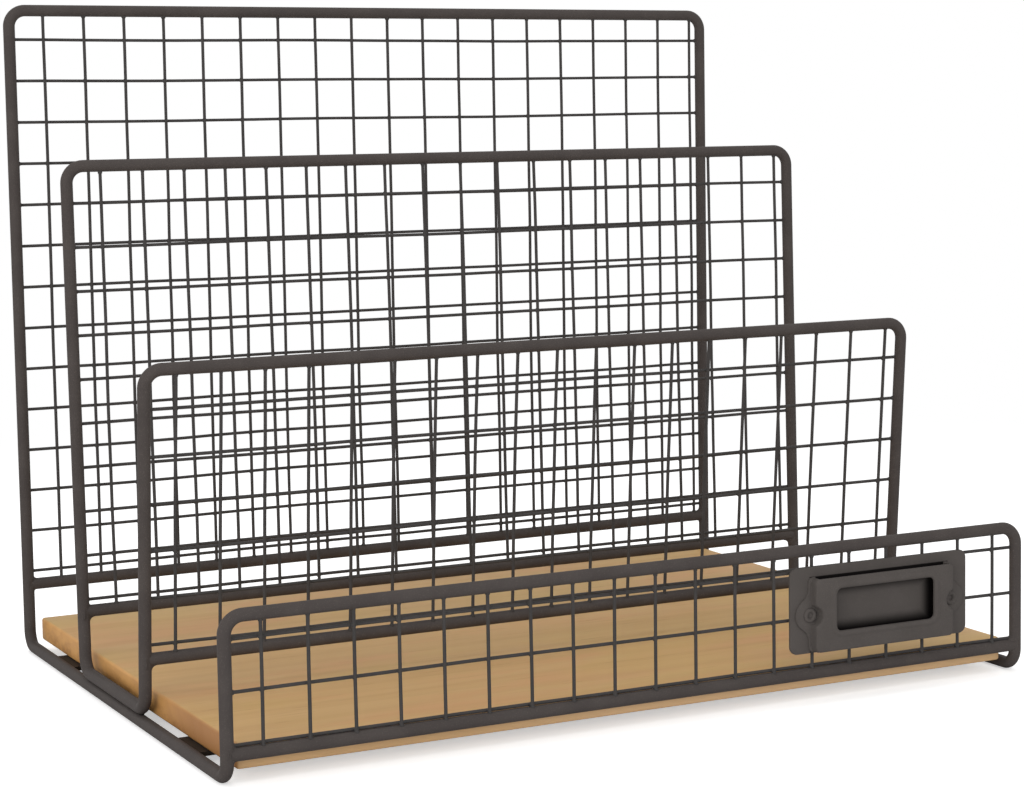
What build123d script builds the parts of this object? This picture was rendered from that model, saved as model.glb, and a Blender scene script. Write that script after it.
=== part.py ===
from build123d import *
from dataclasses import dataclass
import math
import os

# Desk document holder: four stepped wire mesh panels over a wooden board, with a label holder in front.
# Lengths are in millimetres and angles in degrees. X runs to the right, Y to the back, Z up from the desk.
# The origin is on the desk, under the middle of the holder.

# Frame wire
FRAME_WIDTH = 308.0  # outside of the two side rails
FRAME_DEPTH = 234.0  # outside of the back and front uprights
FRAME_WIRE = 4.4
BEND_RADIUS = 6.2  # centre line of every bend
WELD_GAP = 0.03  # left between welded wires

# Panel heights, from the desk to the top of the top bar
BACK_HEIGHT = 250.0
SECOND_HEIGHT = 192.0
THIRD_HEIGHT = 126.0
FRONT_HEIGHT = 56.0

# Bottom bar heights, from the desk to the middle of the bar
BACK_BAR_HEIGHT = 26.0
SECOND_BAR_HEIGHT = 28.5
THIRD_BAR_HEIGHT = 24.5
FRONT_BAR_HEIGHT = 9.9

# Feet of the two middle panels, ahead of the back panel, and how far they lean back
SECOND_SETBACK = 76.0
THIRD_SETBACK = 146.5
SECOND_LEAN_DEG = 1.4
THIRD_LEAN_DEG = -4.7

# Mesh wires: upright wires start beside the left frame upright, cross wires below the top bar
MESH_WIRE = 1.1
MESH_PITCH = 15.84
BACK_MESH_START = 13.0
SECOND_MESH_START = 12.0
THIRD_MESH_START = 10.6
FRONT_MESH_START = 11.6
FRONT_MESH_PITCH = 15.62
BACK_CROSS_START = 11.1
SECOND_CROSS_START = 13.1
THIRD_CROSS_START = 13.4
FRONT_CROSS_START = 7.4
BACK_CROSS_PITCH = 15.8
SECOND_CROSS_PITCH = 16.0
THIRD_CROSS_PITCH = 16.3
FRONT_CROSS_PITCH = 16.85

# Wooden board
BOARD_THICKNESS = 8.9
BOARD_LIFT = 3.8  # from the desk to its underside
BOARD_SIDE_GAP = 2.0  # to the inside of each rail
BOARD_FRONT_GAP = 1.4  # to the front bottom bar
BOARD_BACK_INSET = 1.0  # ahead of the middle of the back panel
BOARD_EDGE = 0.6

# Board tabs, welded to the rails and screwed to the board from below
TAB_WIDTH = 22.0
TAB_REACH = 20.0  # from the middle of the rail
TAB_THICKNESS = 1.5
TAB_CORNER = 4.0
BACK_TAB_INSET = 44.5  # ahead of the back panel
FRONT_TAB_INSET = 42.0  # behind the front panel

# Countersunk wood screws
SCREW_HEAD = 5.4
SCREW_SHANK = 2.6
SCREW_LENGTH = 8.0
SCREW_POINT = 2.2
SCREW_CLEARANCE = 0.05
SCREW_INSET = 8.0  # from the tab's inner end
RECESS_SPAN = 3.0
RECESS_WIDTH = 0.7
RECESS_DEPTH = 0.8

# Label holder
PLATE_WIDTH = 75.0
PLATE_HEIGHT = 30.6
PLATE_THICKNESS = 1.0
PLATE_CORNER = 3.0
LABEL_INSET = 23.8  # from the right upright to the plate
LABEL_LIFT = 7.7  # from the middle of the front bottom bar to the plate
LABEL_SHEET = 0.8
POCKET_WIDTH = 58.6
POCKET_HEIGHT = 26.6
POCKET_FOOT = 0.4  # above the plate's lower edge
POCKET_RISE = 4.3
POCKET_CORNER = 2.0
POCKET_EDGE = 0.5
FLANGE_WIDTH = 0.9
WINDOW_WIDTH = 41.4
WINDOW_HEIGHT = 15.1
WINDOW_CORNER = 2.0
WINDOW_DROP = 0.1  # below the middle of the plate
BEAD_WIDTH = 2.4
BEAD_RISE = 0.4
EAR_RADIUS = 5.7
SCALLOP_RADIUS = 3.4
RIVET_INSET = 7.6  # from the plate's end
RIVET_HEAD = 5.0
RIVET_DOME = 1.2
RIVET_SHANK = 2.4
RIVET_CLEARANCE = 0.05
DIMPLE_RADIUS = 1.1
DIMPLE_DEPTH = 0.5

# Worked out from the sizes above
WIRE_RADIUS = FRAME_WIRE / 2
MESH_RADIUS = MESH_WIRE / 2
RAIL_X = FRAME_WIDTH / 2 - WIRE_RADIUS
RAIL_Z = WIRE_RADIUS
RUN_Z = RAIL_Z + FRAME_WIRE + WELD_GAP
PLATE_BACK = MESH_WIRE + WELD_GAP
PLATE_FACE = PLATE_BACK + PLATE_THICKNESS
LABEL_REACH = PLATE_FACE + POCKET_RISE + BEAD_RISE
BACK_Y = (FRAME_DEPTH - FRAME_WIRE + LABEL_REACH - WIRE_RADIUS) / 2
FRONT_Y = BACK_Y - FRAME_DEPTH + FRAME_WIRE


@dataclass(frozen=True)
class Panel:
    """One wire panel: a bent top frame, a bottom bar and its mesh."""

    name: str
    foot_y: float
    foot_z: float
    lean: float
    height: float
    bar_height: float
    mesh_start: float
    mesh_pitch: float
    cross_start: float
    cross_pitch: float

    @property
    def plane(self):
        """Plane of the panel at its foot: X to the right, Y up the panel, Z to the front."""
        turn = math.radians(self.lean)
        front = (0, -math.cos(turn), math.sin(turn))
        return Plane(origin=(0, self.foot_y, self.foot_z), x_dir=(1, 0, 0), z_dir=front)

    def rise(self, height):
        """Distance up the panel at which it reaches a height over the desk."""
        return (height - self.foot_z) / math.cos(math.radians(self.lean))

    @property
    def top(self):
        """Middle of the top bar, up the panel."""
        return self.rise(self.height - WIRE_RADIUS)

    @property
    def bar(self):
        """Middle of the bottom bar, up the panel."""
        return self.rise(self.bar_height)

    def at(self, across, up, front=0):
        """Point of the panel in the part's frame."""
        return self.plane.from_local_coords(Vector(across, up, front))


BACK = Panel("back", BACK_Y, RAIL_Z, 0, BACK_HEIGHT, BACK_BAR_HEIGHT,
             BACK_MESH_START, MESH_PITCH, BACK_CROSS_START, BACK_CROSS_PITCH)
SECOND = Panel("second", BACK_Y - SECOND_SETBACK, RUN_Z, SECOND_LEAN_DEG, SECOND_HEIGHT, SECOND_BAR_HEIGHT,
               SECOND_MESH_START, MESH_PITCH, SECOND_CROSS_START, SECOND_CROSS_PITCH)
THIRD = Panel("third", BACK_Y - THIRD_SETBACK, RUN_Z, THIRD_LEAN_DEG, THIRD_HEIGHT, THIRD_BAR_HEIGHT,
              THIRD_MESH_START, MESH_PITCH, THIRD_CROSS_START, THIRD_CROSS_PITCH)
FRONT = Panel("front", FRONT_Y, RAIL_Z, 0, FRONT_HEIGHT, FRONT_BAR_HEIGHT,
              FRONT_MESH_START, FRONT_MESH_PITCH, FRONT_CROSS_START, FRONT_CROSS_PITCH)


def rod(start, end, diameter):
    """Straight round wire between two points."""
    axis = end - start
    return extrude(Plane(origin=start, z_dir=axis) * Circle(diameter / 2), amount=axis.length)


def bent_loop(rear, front, diameter):
    """Closed wire loop: up and over the rear panel, along both rails, up and over the front panel."""
    points = [
        rear.at(0, rear.top), rear.at(RAIL_X, rear.top), rear.at(RAIL_X, 0),
        front.at(RAIL_X, 0), front.at(RAIL_X, front.top), front.at(0, front.top),
    ]
    path = FilletPolyline(*points, radius=BEND_RADIUS)
    half = sweep(Plane(origin=path @ 0, z_dir=path % 0) * Circle(diameter / 2), path=path)
    return half + mirror(half, about=Plane.YZ)


def spaced(first, pitch, last):
    """Places from first, a pitch apart, up to last."""
    count = math.floor((last - first) / pitch) + 1
    return [first + number * pitch for number in range(count)]


def bottom_bar(panel, cutter):
    """Bar between the panel's two uprights, its ends shaped to them."""
    return rod(panel.at(-RAIL_X, panel.bar), panel.at(RAIL_X, panel.bar), FRAME_WIRE) - cutter


def mesh_uprights(panel, cutters):
    """Upright mesh wires, from the bottom bar to the top bar."""
    places = spaced(panel.mesh_start - RAIL_X, panel.mesh_pitch, RAIL_X - FRAME_WIRE)
    wires = [rod(panel.at(x, panel.bar, MESH_RADIUS), panel.at(x, panel.top, MESH_RADIUS), MESH_WIRE)
             for x in places]
    return trimmed(wires, cutters)


def mesh_crosswires(panel, cutters):
    """Cross mesh wires, behind the upright ones, from side to side."""
    drops = spaced(panel.cross_start, panel.cross_pitch, panel.top - panel.bar - WIRE_RADIUS - MESH_RADIUS)
    wires = [rod(panel.at(-RAIL_X, panel.top - drop, -MESH_RADIUS),
                 panel.at(RAIL_X, panel.top - drop, -MESH_RADIUS), MESH_WIRE) for drop in drops]
    return trimmed(wires, cutters)


def trimmed(wires, cutters):
    """Wires with their ends shaped to the frame wires that they are welded to."""
    for cutter in cutters:
        wires = [wire - cutter for wire in wires]
    return Compound([solid for wire in wires for solid in wire.solids()])


def screw_places():
    """Middle of each board screw, on the right side."""
    x = RAIL_X - TAB_REACH + SCREW_INSET
    return {"back": (x, BACK_Y - BACK_TAB_INSET), "front": (x, FRONT_Y + FRONT_TAB_INSET)}


def screw_body(clearance):
    """Countersunk head, shank and point of a wood screw, head down at the origin."""
    head = SCREW_HEAD / 2 + clearance
    shank = SCREW_SHANK / 2 + clearance
    cone = Cone(head, shank, head - shank, align=(Align.CENTER, Align.CENTER, Align.MIN))
    straight = SCREW_LENGTH - SCREW_POINT
    stem = Cylinder(shank, straight, align=(Align.CENTER, Align.CENTER, Align.MIN))
    point = Cone(shank, clearance, SCREW_POINT, align=(Align.CENTER, Align.CENTER, Align.MIN))
    return cone + stem + Pos(0, 0, straight) * point


def board_screw():
    """Wood screw with a cross recess in its head."""
    bottom = (Align.CENTER, Align.CENTER, Align.MIN)
    cross = Box(RECESS_SPAN, RECESS_WIDTH, RECESS_DEPTH, align=bottom)
    cross += Box(RECESS_WIDTH, RECESS_SPAN, RECESS_DEPTH, align=bottom)
    return screw_body(0) - cross


def board_tab(place, cutter):
    """Flat tab on the right side, from the rail to under the board, with a countersunk hole."""
    x, y = place
    inner = RAIL_X - TAB_REACH
    outline = Pos((inner + RAIL_X) / 2, y) * Rectangle(TAB_REACH, TAB_WIDTH)
    outline = fillet(outline.vertices().sort_by(Axis.X)[:2], TAB_CORNER)
    foot = BOARD_LIFT - TAB_THICKNESS
    tab = extrude(Pos(0, 0, foot) * outline, amount=TAB_THICKNESS)
    return tab - Pos(x, y, foot) * screw_body(SCREW_CLEARANCE) - cutter


def base_board(screws):
    """Wooden board between the rails, drilled for the screws."""
    half_width = RAIL_X - WIRE_RADIUS - BOARD_SIDE_GAP
    back = BACK_Y - BOARD_BACK_INSET
    front = FRONT_Y + WIRE_RADIUS + BOARD_FRONT_GAP
    board = Pos(0, (back + front) / 2, BOARD_LIFT + BOARD_THICKNESS / 2) * Box(
        2 * half_width, back - front, BOARD_THICKNESS)
    board = chamfer(board.edges(), BOARD_EDGE)
    for screw in screws:
        board -= screw
    return board


def label_plane(front):
    """Plane of the label holder at a distance ahead of the front panel, at the plate's middle."""
    x = RAIL_X - LABEL_INSET - PLATE_WIDTH / 2
    y = FRONT.bar + LABEL_LIFT + PLATE_HEIGHT / 2
    return Plane(origin=FRONT.at(x, y, front), x_dir=(1, 0, 0), z_dir=FRONT.plane.z_dir)


def rivet_spots():
    """Rivet places on the plate, at half the height of the pocket."""
    x = PLATE_WIDTH / 2 - RIVET_INSET
    y = POCKET_FOOT + (POCKET_HEIGHT - PLATE_HEIGHT) / 2
    return [Pos(-x, y), Pos(x, y)]


def rivet_holes(thickness):
    """Clear holes for the rivets through a sheet that starts at the origin."""
    radius = RIVET_SHANK / 2 + RIVET_CLEARANCE
    hole = Cylinder(radius, thickness, align=(Align.CENTER, Align.CENTER, Align.MIN))
    return [spot * hole for spot in rivet_spots()]


def label_plate():
    """Flat back plate, welded to the upright mesh wires."""
    plate = extrude(RectangleRounded(PLATE_WIDTH, PLATE_HEIGHT, PLATE_CORNER), amount=PLATE_THICKNESS)
    for hole in rivet_holes(PLATE_THICKNESS):
        plate -= hole
    return label_plane(PLATE_BACK) * plate


def label_frame():
    """Stamped frame: a raised pocket open at its top, a beaded window and two riveted ears."""
    middle = Pos(0, POCKET_FOOT + (POCKET_HEIGHT - PLATE_HEIGHT) / 2)
    scallops = [spot * Circle(SCALLOP_RADIUS) for spot in rivet_spots()]
    outline = middle * RectangleRounded(POCKET_WIDTH, POCKET_HEIGHT, POCKET_CORNER)
    flange = middle * RectangleRounded(POCKET_WIDTH + 2 * FLANGE_WIDTH, POCKET_HEIGHT, POCKET_CORNER)
    cavity = middle * Rectangle(POCKET_WIDTH - 2 * LABEL_SHEET, POCKET_HEIGHT)
    cavity = Pos(0, LABEL_SHEET) * cavity
    for spot, scallop in zip(rivet_spots(), scallops):
        outline -= scallop
        flange += spot * Circle(EAR_RADIUS)
        cavity -= spot * Circle(SCALLOP_RADIUS + LABEL_SHEET)
    pocket = extrude(outline, amount=POCKET_RISE)
    rim = pocket.faces().sort_by(Axis.Z)[-1].outer_wire().edges()
    pocket = fillet(rim, POCKET_EDGE)
    window = Pos(0, -WINDOW_DROP) * RectangleRounded(WINDOW_WIDTH, WINDOW_HEIGHT, WINDOW_CORNER)
    bead = Pos(0, -WINDOW_DROP) * RectangleRounded(
        WINDOW_WIDTH + 2 * BEAD_WIDTH, WINDOW_HEIGHT + 2 * BEAD_WIDTH, WINDOW_CORNER + BEAD_WIDTH)
    frame = pocket + extrude(flange, amount=LABEL_SHEET) + extrude(bead, amount=POCKET_RISE + BEAD_RISE)
    frame -= extrude(cavity, amount=POCKET_RISE - LABEL_SHEET)
    frame -= extrude(window, amount=POCKET_RISE + BEAD_RISE)
    for hole in rivet_holes(LABEL_SHEET):
        frame -= hole
    return label_plane(PLATE_FACE) * frame


def label_rivets():
    """Domed rivets through the ears and the plate, each with a dimple in its head."""
    head_radius = RIVET_HEAD / 2
    ball = (head_radius ** 2 + RIVET_DOME ** 2) / (2 * RIVET_DOME)
    bottom = (Align.CENTER, Align.CENTER, Align.MIN)
    dome = Pos(0, 0, RIVET_DOME - ball) * Sphere(ball)
    dome &= Cylinder(head_radius, RIVET_DOME, align=bottom)
    dome -= Pos(0, 0, RIVET_DOME - DIMPLE_DEPTH) * Cone(0, DIMPLE_RADIUS, DIMPLE_DEPTH, align=bottom)
    stem_length = LABEL_SHEET + PLATE_THICKNESS
    stem = Cylinder(RIVET_SHANK / 2, stem_length, align=(Align.CENTER, Align.CENTER, Align.MAX))
    rivet = dome + stem
    return [label_plane(PLATE_FACE + LABEL_SHEET) * spot * rivet for spot in rivet_spots()]


def build():
    """All pieces by name."""
    outer_cutter = bent_loop(BACK, FRONT, FRAME_WIRE + 2 * WELD_GAP)
    inner_cutter = bent_loop(SECOND, THIRD, FRAME_WIRE + 2 * WELD_GAP)
    pieces = {
        "outer_frame": bent_loop(BACK, FRONT, FRAME_WIRE),
        "inner_frame": bent_loop(SECOND, THIRD, FRAME_WIRE),
    }
    cutters = {BACK: outer_cutter, SECOND: inner_cutter, THIRD: inner_cutter, FRONT: outer_cutter}
    for panel, cutter in cutters.items():
        bar_cutter = rod(panel.at(-RAIL_X, panel.bar), panel.at(RAIL_X, panel.bar), FRAME_WIRE + 2 * WELD_GAP)
        pieces[f"{panel.name}_bottom_bar"] = bottom_bar(panel, cutter)
        pieces[f"{panel.name}_mesh_uprights"] = mesh_uprights(panel, (cutter, bar_cutter))
        pieces[f"{panel.name}_mesh_crosswires"] = mesh_crosswires(panel, (cutter,))
    screws, cutouts = [], []
    for row, place in screw_places().items():
        seat = Pos(*place, BOARD_LIFT - TAB_THICKNESS)
        tab = board_tab(place, outer_cutter)
        pieces[f"{row}_right_tab"] = tab
        pieces[f"{row}_left_tab"] = mirror(tab, about=Plane.YZ)
        screw = seat * board_screw()
        cutout = seat * screw_body(SCREW_CLEARANCE)
        screws += [screw, mirror(screw, about=Plane.YZ)]
        cutouts += [cutout, mirror(cutout, about=Plane.YZ)]
    pieces["base_board"] = base_board(cutouts)
    pieces["board_screws"] = Compound([solid for screw in screws for solid in screw.solids()])
    pieces["label_plate"] = label_plate()
    pieces["label_frame"] = label_frame()
    pieces["label_rivets"] = Compound([solid for rivet in label_rivets() for solid in rivet.solids()])
    return pieces


os.makedirs("parts", exist_ok=True)
for node, shape in build().items():
    export_step(shape, f"parts/{node}.step")
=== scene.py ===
"""Looks of a desk document holder: four stepped wire mesh panels over a wooden board.

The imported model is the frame. The wires, welds, board, screws and label holder are made here
in metres, in the same frame, and dressed with procedural finishes.
"""
import logging
import math
import random
from dataclasses import dataclass, field, replace
from enum import Enum
from functools import cache
from typing import Callable, Mapping, Sequence

import bmesh
import bpy
from bpy.types import Material, Mesh, Node, NodeSocket, NodeTree, Object, Scene
from mathutils import Euler, Matrix, Quaternion, Vector


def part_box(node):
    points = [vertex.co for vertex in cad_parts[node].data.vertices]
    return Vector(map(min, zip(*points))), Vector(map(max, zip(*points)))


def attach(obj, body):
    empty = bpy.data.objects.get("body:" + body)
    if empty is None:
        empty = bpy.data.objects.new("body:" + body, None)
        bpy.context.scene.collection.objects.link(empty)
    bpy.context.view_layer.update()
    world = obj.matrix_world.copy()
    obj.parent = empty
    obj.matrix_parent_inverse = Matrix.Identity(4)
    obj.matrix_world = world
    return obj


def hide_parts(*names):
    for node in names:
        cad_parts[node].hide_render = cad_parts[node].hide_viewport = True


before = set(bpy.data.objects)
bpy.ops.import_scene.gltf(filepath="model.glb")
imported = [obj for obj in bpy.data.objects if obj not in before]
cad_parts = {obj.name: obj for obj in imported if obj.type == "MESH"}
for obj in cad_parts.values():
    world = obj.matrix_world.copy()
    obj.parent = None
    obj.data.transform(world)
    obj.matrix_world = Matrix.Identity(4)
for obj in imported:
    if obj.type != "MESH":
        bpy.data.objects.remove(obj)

LOG = logging.getLogger("document_holder")
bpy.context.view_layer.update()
ROOT = "root"
MM = 0.001
WELD_ATTRIBUTE = "weld"
TURN_ATTRIBUTE = "turn"
TAB_ROWS = ("back", "front")
LEAST_WELD = 0.01
SWAY_AXES = (4.0, 1.2, 4.0)
FLOAT, INT, VECTOR, COLOUR = "NodeSocketFloat", "NodeSocketInt", "NodeSocketVector", "NodeSocketColor"
GEOMETRY, MATERIAL, OBJECT = "NodeSocketGeometry", "NodeSocketMaterial", "NodeSocketObject"
Flat = tuple[float, float]
Point = tuple[float, float, float]
Colour = tuple[float, float, float, float]
Skin = tuple[list[Point], list[tuple[int, ...]]]
Place = tuple[Vector, Euler]
Value = object
Sockets = Mapping[str, NodeSocket]
WHITE: Colour = (1.0, 1.0, 1.0, 1.0)


class PanelName(str, Enum):
    """The four wire panels, from the back to the front."""

    BACK = "back"
    SECOND = "second"
    THIRD = "third"
    FRONT = "front"


class Loop(str, Enum):
    """The two closed frame wires that the panels belong to."""

    OUTER = "outer_frame"
    INNER = "inner_frame"


class Side(Enum):
    """The two ends of the holder, as the sign of X."""

    LEFT = -1.0
    RIGHT = 1.0


class Slot(str, Enum):
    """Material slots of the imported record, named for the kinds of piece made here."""

    FRAME = "frame_wire"
    MESH = "mesh_wire"
    LABEL = "label_metal"
    BOARD = "board_wood"
    SCREW = "screw_steel"


class Contour(Enum):
    """Outlines of the stamped label frame, from its rim to its window."""

    FLANGE = "flange"
    POCKET = "pocket"
    BEAD = "bead"
    WINDOW = "window"
    CAVITY = "cavity"


class NodeSheet:
    """Adds nodes to one node tree and joins them."""

    def __init__(self, tree: NodeTree) -> None:
        """Starts an empty sheet on a tree."""
        self.tree = tree
        tree.nodes.clear()

    def add(self, kind: str, inputs: Mapping[str, Value] | None = None, **settings: object) -> Node:
        """Adds a node, sets it up and feeds its inputs.

        Args:
            kind: Blender's type name of the node.
            inputs: Values or sockets by input name.
            settings: Properties of the node.

        Returns:
            The new node.
        """
        node = self.tree.nodes.new(kind)
        for name, value in settings.items():
            setattr(node, name, value)
        self.fill(node, inputs or {})
        return node

    def feed(self, socket: NodeSocket, value: Value) -> None:
        """Joins a socket to an input, or sets the input's value.

        Args:
            socket: The input.
            value: Socket to join, or value to set.
        """
        if isinstance(value, NodeSocket):
            self.tree.links.new(value, socket)
        else:
            socket.default_value = value

    def fill(self, node: Node, inputs: Mapping[str, Value]) -> None:
        """Feeds a node's inputs by name, among those that its settings make active."""
        for name, value in inputs.items():
            self.feed(next(s for s in node.inputs if s.name == name and s.enabled), value)

    def line_up(self, node: Node, *values: Value) -> Node:
        """Feeds a node's first inputs in their order.

        Args:
            node: The node.
            values: Values or sockets, from the first input on.

        Returns:
            The node.
        """
        for socket, value in zip(node.inputs, values):
            self.feed(socket, value)
        return node

    @staticmethod
    def result(node: Node) -> NodeSocket:
        """Gives the output that the node's settings make active."""
        return next(s for s in node.outputs if s.enabled)

    def math(self, operation: str, first: Value, second: Value = 0.0) -> NodeSocket:
        """Adds a math node on one or two values."""
        return self.line_up(self.add("ShaderNodeMath", operation=operation), first, second).outputs[0]

    def plus(self, first: Value, second: Value) -> NodeSocket:
        """Adds two values."""
        return self.math("ADD", first, second)

    def minus(self, first: Value, second: Value) -> NodeSocket:
        """Takes the second value from the first."""
        return self.math("SUBTRACT", first, second)

    def times(self, first: Value, second: Value) -> NodeSocket:
        """Multiplies two values."""
        return self.math("MULTIPLY", first, second)

    def vector(self, operation: str, first: Value, second: Value) -> NodeSocket:
        """Adds a vector math node on two vectors."""
        node = self.add("ShaderNodeVectorMath", operation=operation)
        return self.line_up(node, first, second).outputs["Vector"]

    def split(self, vector: Value) -> Sockets:
        """Gives a vector's X, Y and Z."""
        return self.add("ShaderNodeSeparateXYZ", {"Vector": vector}).outputs

    def place(self) -> NodeSocket:
        """Gives the place on the object."""
        return self.add("ShaderNodeTexCoord").outputs["Object"]

    def marked(self, name: str) -> NodeSocket:
        """Gives the value that the mesh carries under a name."""
        return self.add("ShaderNodeAttribute", attribute_name=name).outputs["Fac"]

    def seen(self) -> NodeSocket:
        """Adds the mask of the rays that the eye follows: straight, in a reflection or through glass.

        Returns:
            The socket of a value that is 1 for such a ray and 0 for the others.
        """
        path = self.add("ShaderNodeLightPath").outputs
        mirrored = self.math("MAXIMUM", path["Is Glossy Ray"], path["Is Transmission Ray"])
        return self.math("MAXIMUM", path["Is Camera Ray"], mirrored)

    def noise(self, place: Value, scale: Value, detail: float = 2.0, roughness: float = 0.5) -> NodeSocket:
        """Adds a noise texture.

        Args:
            place: Coordinates.
            scale: Cells in a metre of the coordinates.
            detail: Octaves.
            roughness: Share of the finer octaves.

        Returns:
            The socket of its value, about 0.5 on average.
        """
        return self.add("ShaderNodeTexNoise", {
            "Vector": place, "Scale": scale, "Detail": detail, "Roughness": roughness}).outputs[0]

    def remap(self, value: Value, low: float, high: float, to_low: float = 0.0,
              to_high: float = 1.0) -> NodeSocket:
        """Adds a smooth step.

        Args:
            value: Value or socket.
            low: Where the step starts.
            high: Where it ends.
            to_low: Result below the start.
            to_high: Result above the end.

        Returns:
            The result's socket.
        """
        limits = {"From Min": low, "From Max": high, "To Min": to_low, "To Max": to_high}
        return self.add("ShaderNodeMapRange", {"Value": value, **limits},
                        interpolation_type="SMOOTHSTEP").outputs[0]

    def blend(self, share: Value, first: Value, second: Value, mode: str = "MIX") -> NodeSocket:
        """Adds a colour mix.

        Args:
            share: Share of the second colour.
            first: First colour or socket.
            second: Second colour or socket.
            mode: Blend mode.

        Returns:
            The mixed colour's socket.
        """
        node = self.add("ShaderNodeMix", data_type="RGBA", blend_type=mode)
        self.fill(node, {"Factor": share, "A": first, "B": second})
        return self.result(node)

    def bump(self, height: Value, strength: float, depth: float) -> NodeSocket:
        """Turns a height into a normal."""
        return self.add("ShaderNodeBump", {
            "Height": height, "Strength": strength, "Distance": depth}).outputs["Normal"]

    def take(self, *sockets: tuple[str, str, Value]) -> Sockets:
        """Makes a group's named inputs.

        Args:
            sockets: Name, socket type and default of each.

        Returns:
            The sockets to read them from.
        """
        for name, kind, default in sockets:
            made = self.tree.interface.new_socket(name=name, in_out="INPUT", socket_type=kind)
            if default is not None:
                made.default_value = default
        return self.add("NodeGroupInput").outputs

    def give(self, *sockets: tuple[str, str, NodeSocket]) -> None:
        """Makes a group's named outputs.

        Args:
            sockets: Name, socket type and source of each.
        """
        for name, kind, _ in sockets:
            self.tree.interface.new_socket(name=name, in_out="OUTPUT", socket_type=kind)
        self.add("NodeGroupOutput", {name: source for name, _, source in sockets})


class SharedGroup:
    """A shader node group that is made once and placed in each material that uses it.

    Attributes:
        NAME: Name of the group.
    """

    NAME = ""

    @classmethod
    def tree(cls) -> NodeTree:
        """Gives the group, drawn when it is first asked for.

        Returns:
            The node group.
        """
        made = bpy.data.node_groups.get(cls.NAME)
        if made is None:
            made = bpy.data.node_groups.new(cls.NAME, "ShaderNodeTree")
            cls.draw(NodeSheet(made))
        return made

    @classmethod
    def draw(cls, sheet: NodeSheet) -> None:
        """Draws the group's nodes on its sheet."""
        raise NotImplementedError


class CoatTexture(SharedGroup):
    """Shader group of a powder coat: faint patches, an orange peel surface and fine flecks.

    Attributes:
        FLECK_COLOUR: Colour of the flecks.
        FLECKS_PER_CELL: Flecks along one cell of the orange peel.
        MEAN_SWING: Mean of what the roughness follows.
    """

    NAME = "coat_texture"
    FLECK_COLOUR: Colour = (1.0, 0.96, 0.92, 1.0)
    FLECKS_PER_CELL = 2.6
    MEAN_SWING = 0.75

    @classmethod
    def draw(cls, sheet: NodeSheet) -> None:
        """Draws the colour, the roughness and the height of the coat.

        Args:
            sheet: Sheet of the group.
        """
        given = sheet.take(
            ("Coat", COLOUR, (0.08, 0.08, 0.08, 1.0)), ("Thin Coat", COLOUR, (0.1, 0.1, 0.1, 1.0)),
            ("Patch Size", FLOAT, 20 * MM), ("Peel Size", FLOAT, 1 * MM),
            ("Base Roughness", FLOAT, 0.5), ("Roughness Swing", FLOAT, 0.1), ("Fleck", FLOAT, 0.2))
        place = sheet.place()
        peel_scale = sheet.math("DIVIDE", 1.0, given["Peel Size"])
        patch = sheet.noise(place, sheet.math("DIVIDE", 1.0, given["Patch Size"]), 3.0, 0.6)
        peel = sheet.noise(place, peel_scale, 2.0, 0.55)
        fleck = sheet.noise(place, sheet.times(peel_scale, cls.FLECKS_PER_CELL), 0.0)
        colour = sheet.blend(sheet.remap(patch, 0.35, 0.7), given["Coat"], given["Thin Coat"])
        bright = sheet.times(sheet.remap(fleck, 0.62, 0.78), given["Fleck"])
        colour = sheet.blend(bright, colour, cls.FLECK_COLOUR, "SOFT_LIGHT")
        swing = sheet.minus(sheet.plus(patch, sheet.times(peel, 0.5)), cls.MEAN_SWING)
        rough = sheet.plus(given["Base Roughness"], sheet.times(swing, given["Roughness Swing"]))
        sheet.give(("Color", COLOUR, colour), ("Roughness", FLOAT, rough), ("Height", FLOAT, peel))


class StreakTexture(SharedGroup):
    """Shader group of long streaks: a stretched noise at two widths, for wood fibre and turned metal."""

    NAME = "streak_texture"

    @classmethod
    def draw(cls, sheet: NodeSheet) -> None:
        """Draws a coarse and a fine streak value.

        Args:
            sheet: Sheet of the group.
        """
        given = sheet.take(
            ("Place", VECTOR, (0.0, 0.0, 0.0)), ("Stretch", VECTOR, (0.02, 1.0, 1.0)),
            ("Coarse Scale", FLOAT, 100.0), ("Fine Scale", FLOAT, 900.0))
        drawn = sheet.vector("MULTIPLY", given["Place"], given["Stretch"])
        sheet.give(("Coarse", FLOAT, sheet.noise(drawn, given["Coarse Scale"], 3.0, 0.55)),
                   ("Fine", FLOAT, sheet.noise(drawn, given["Fine Scale"], 3.0, 0.6)))


def new_material(name: str) -> tuple[Material, NodeSheet, Node]:
    """Starts a node material.

    Args:
        name: Material name.

    Returns:
        The material, its sheet and its Principled shader, which already feeds the output.
    """
    made = bpy.data.materials.new(name)
    made.use_nodes = True
    sheet = NodeSheet(made.node_tree)
    shader = sheet.add("ShaderNodeBsdfPrincipled")
    sheet.add("ShaderNodeOutputMaterial", {"Surface": shader.outputs["BSDF"]})
    return made, sheet, shader


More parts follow.
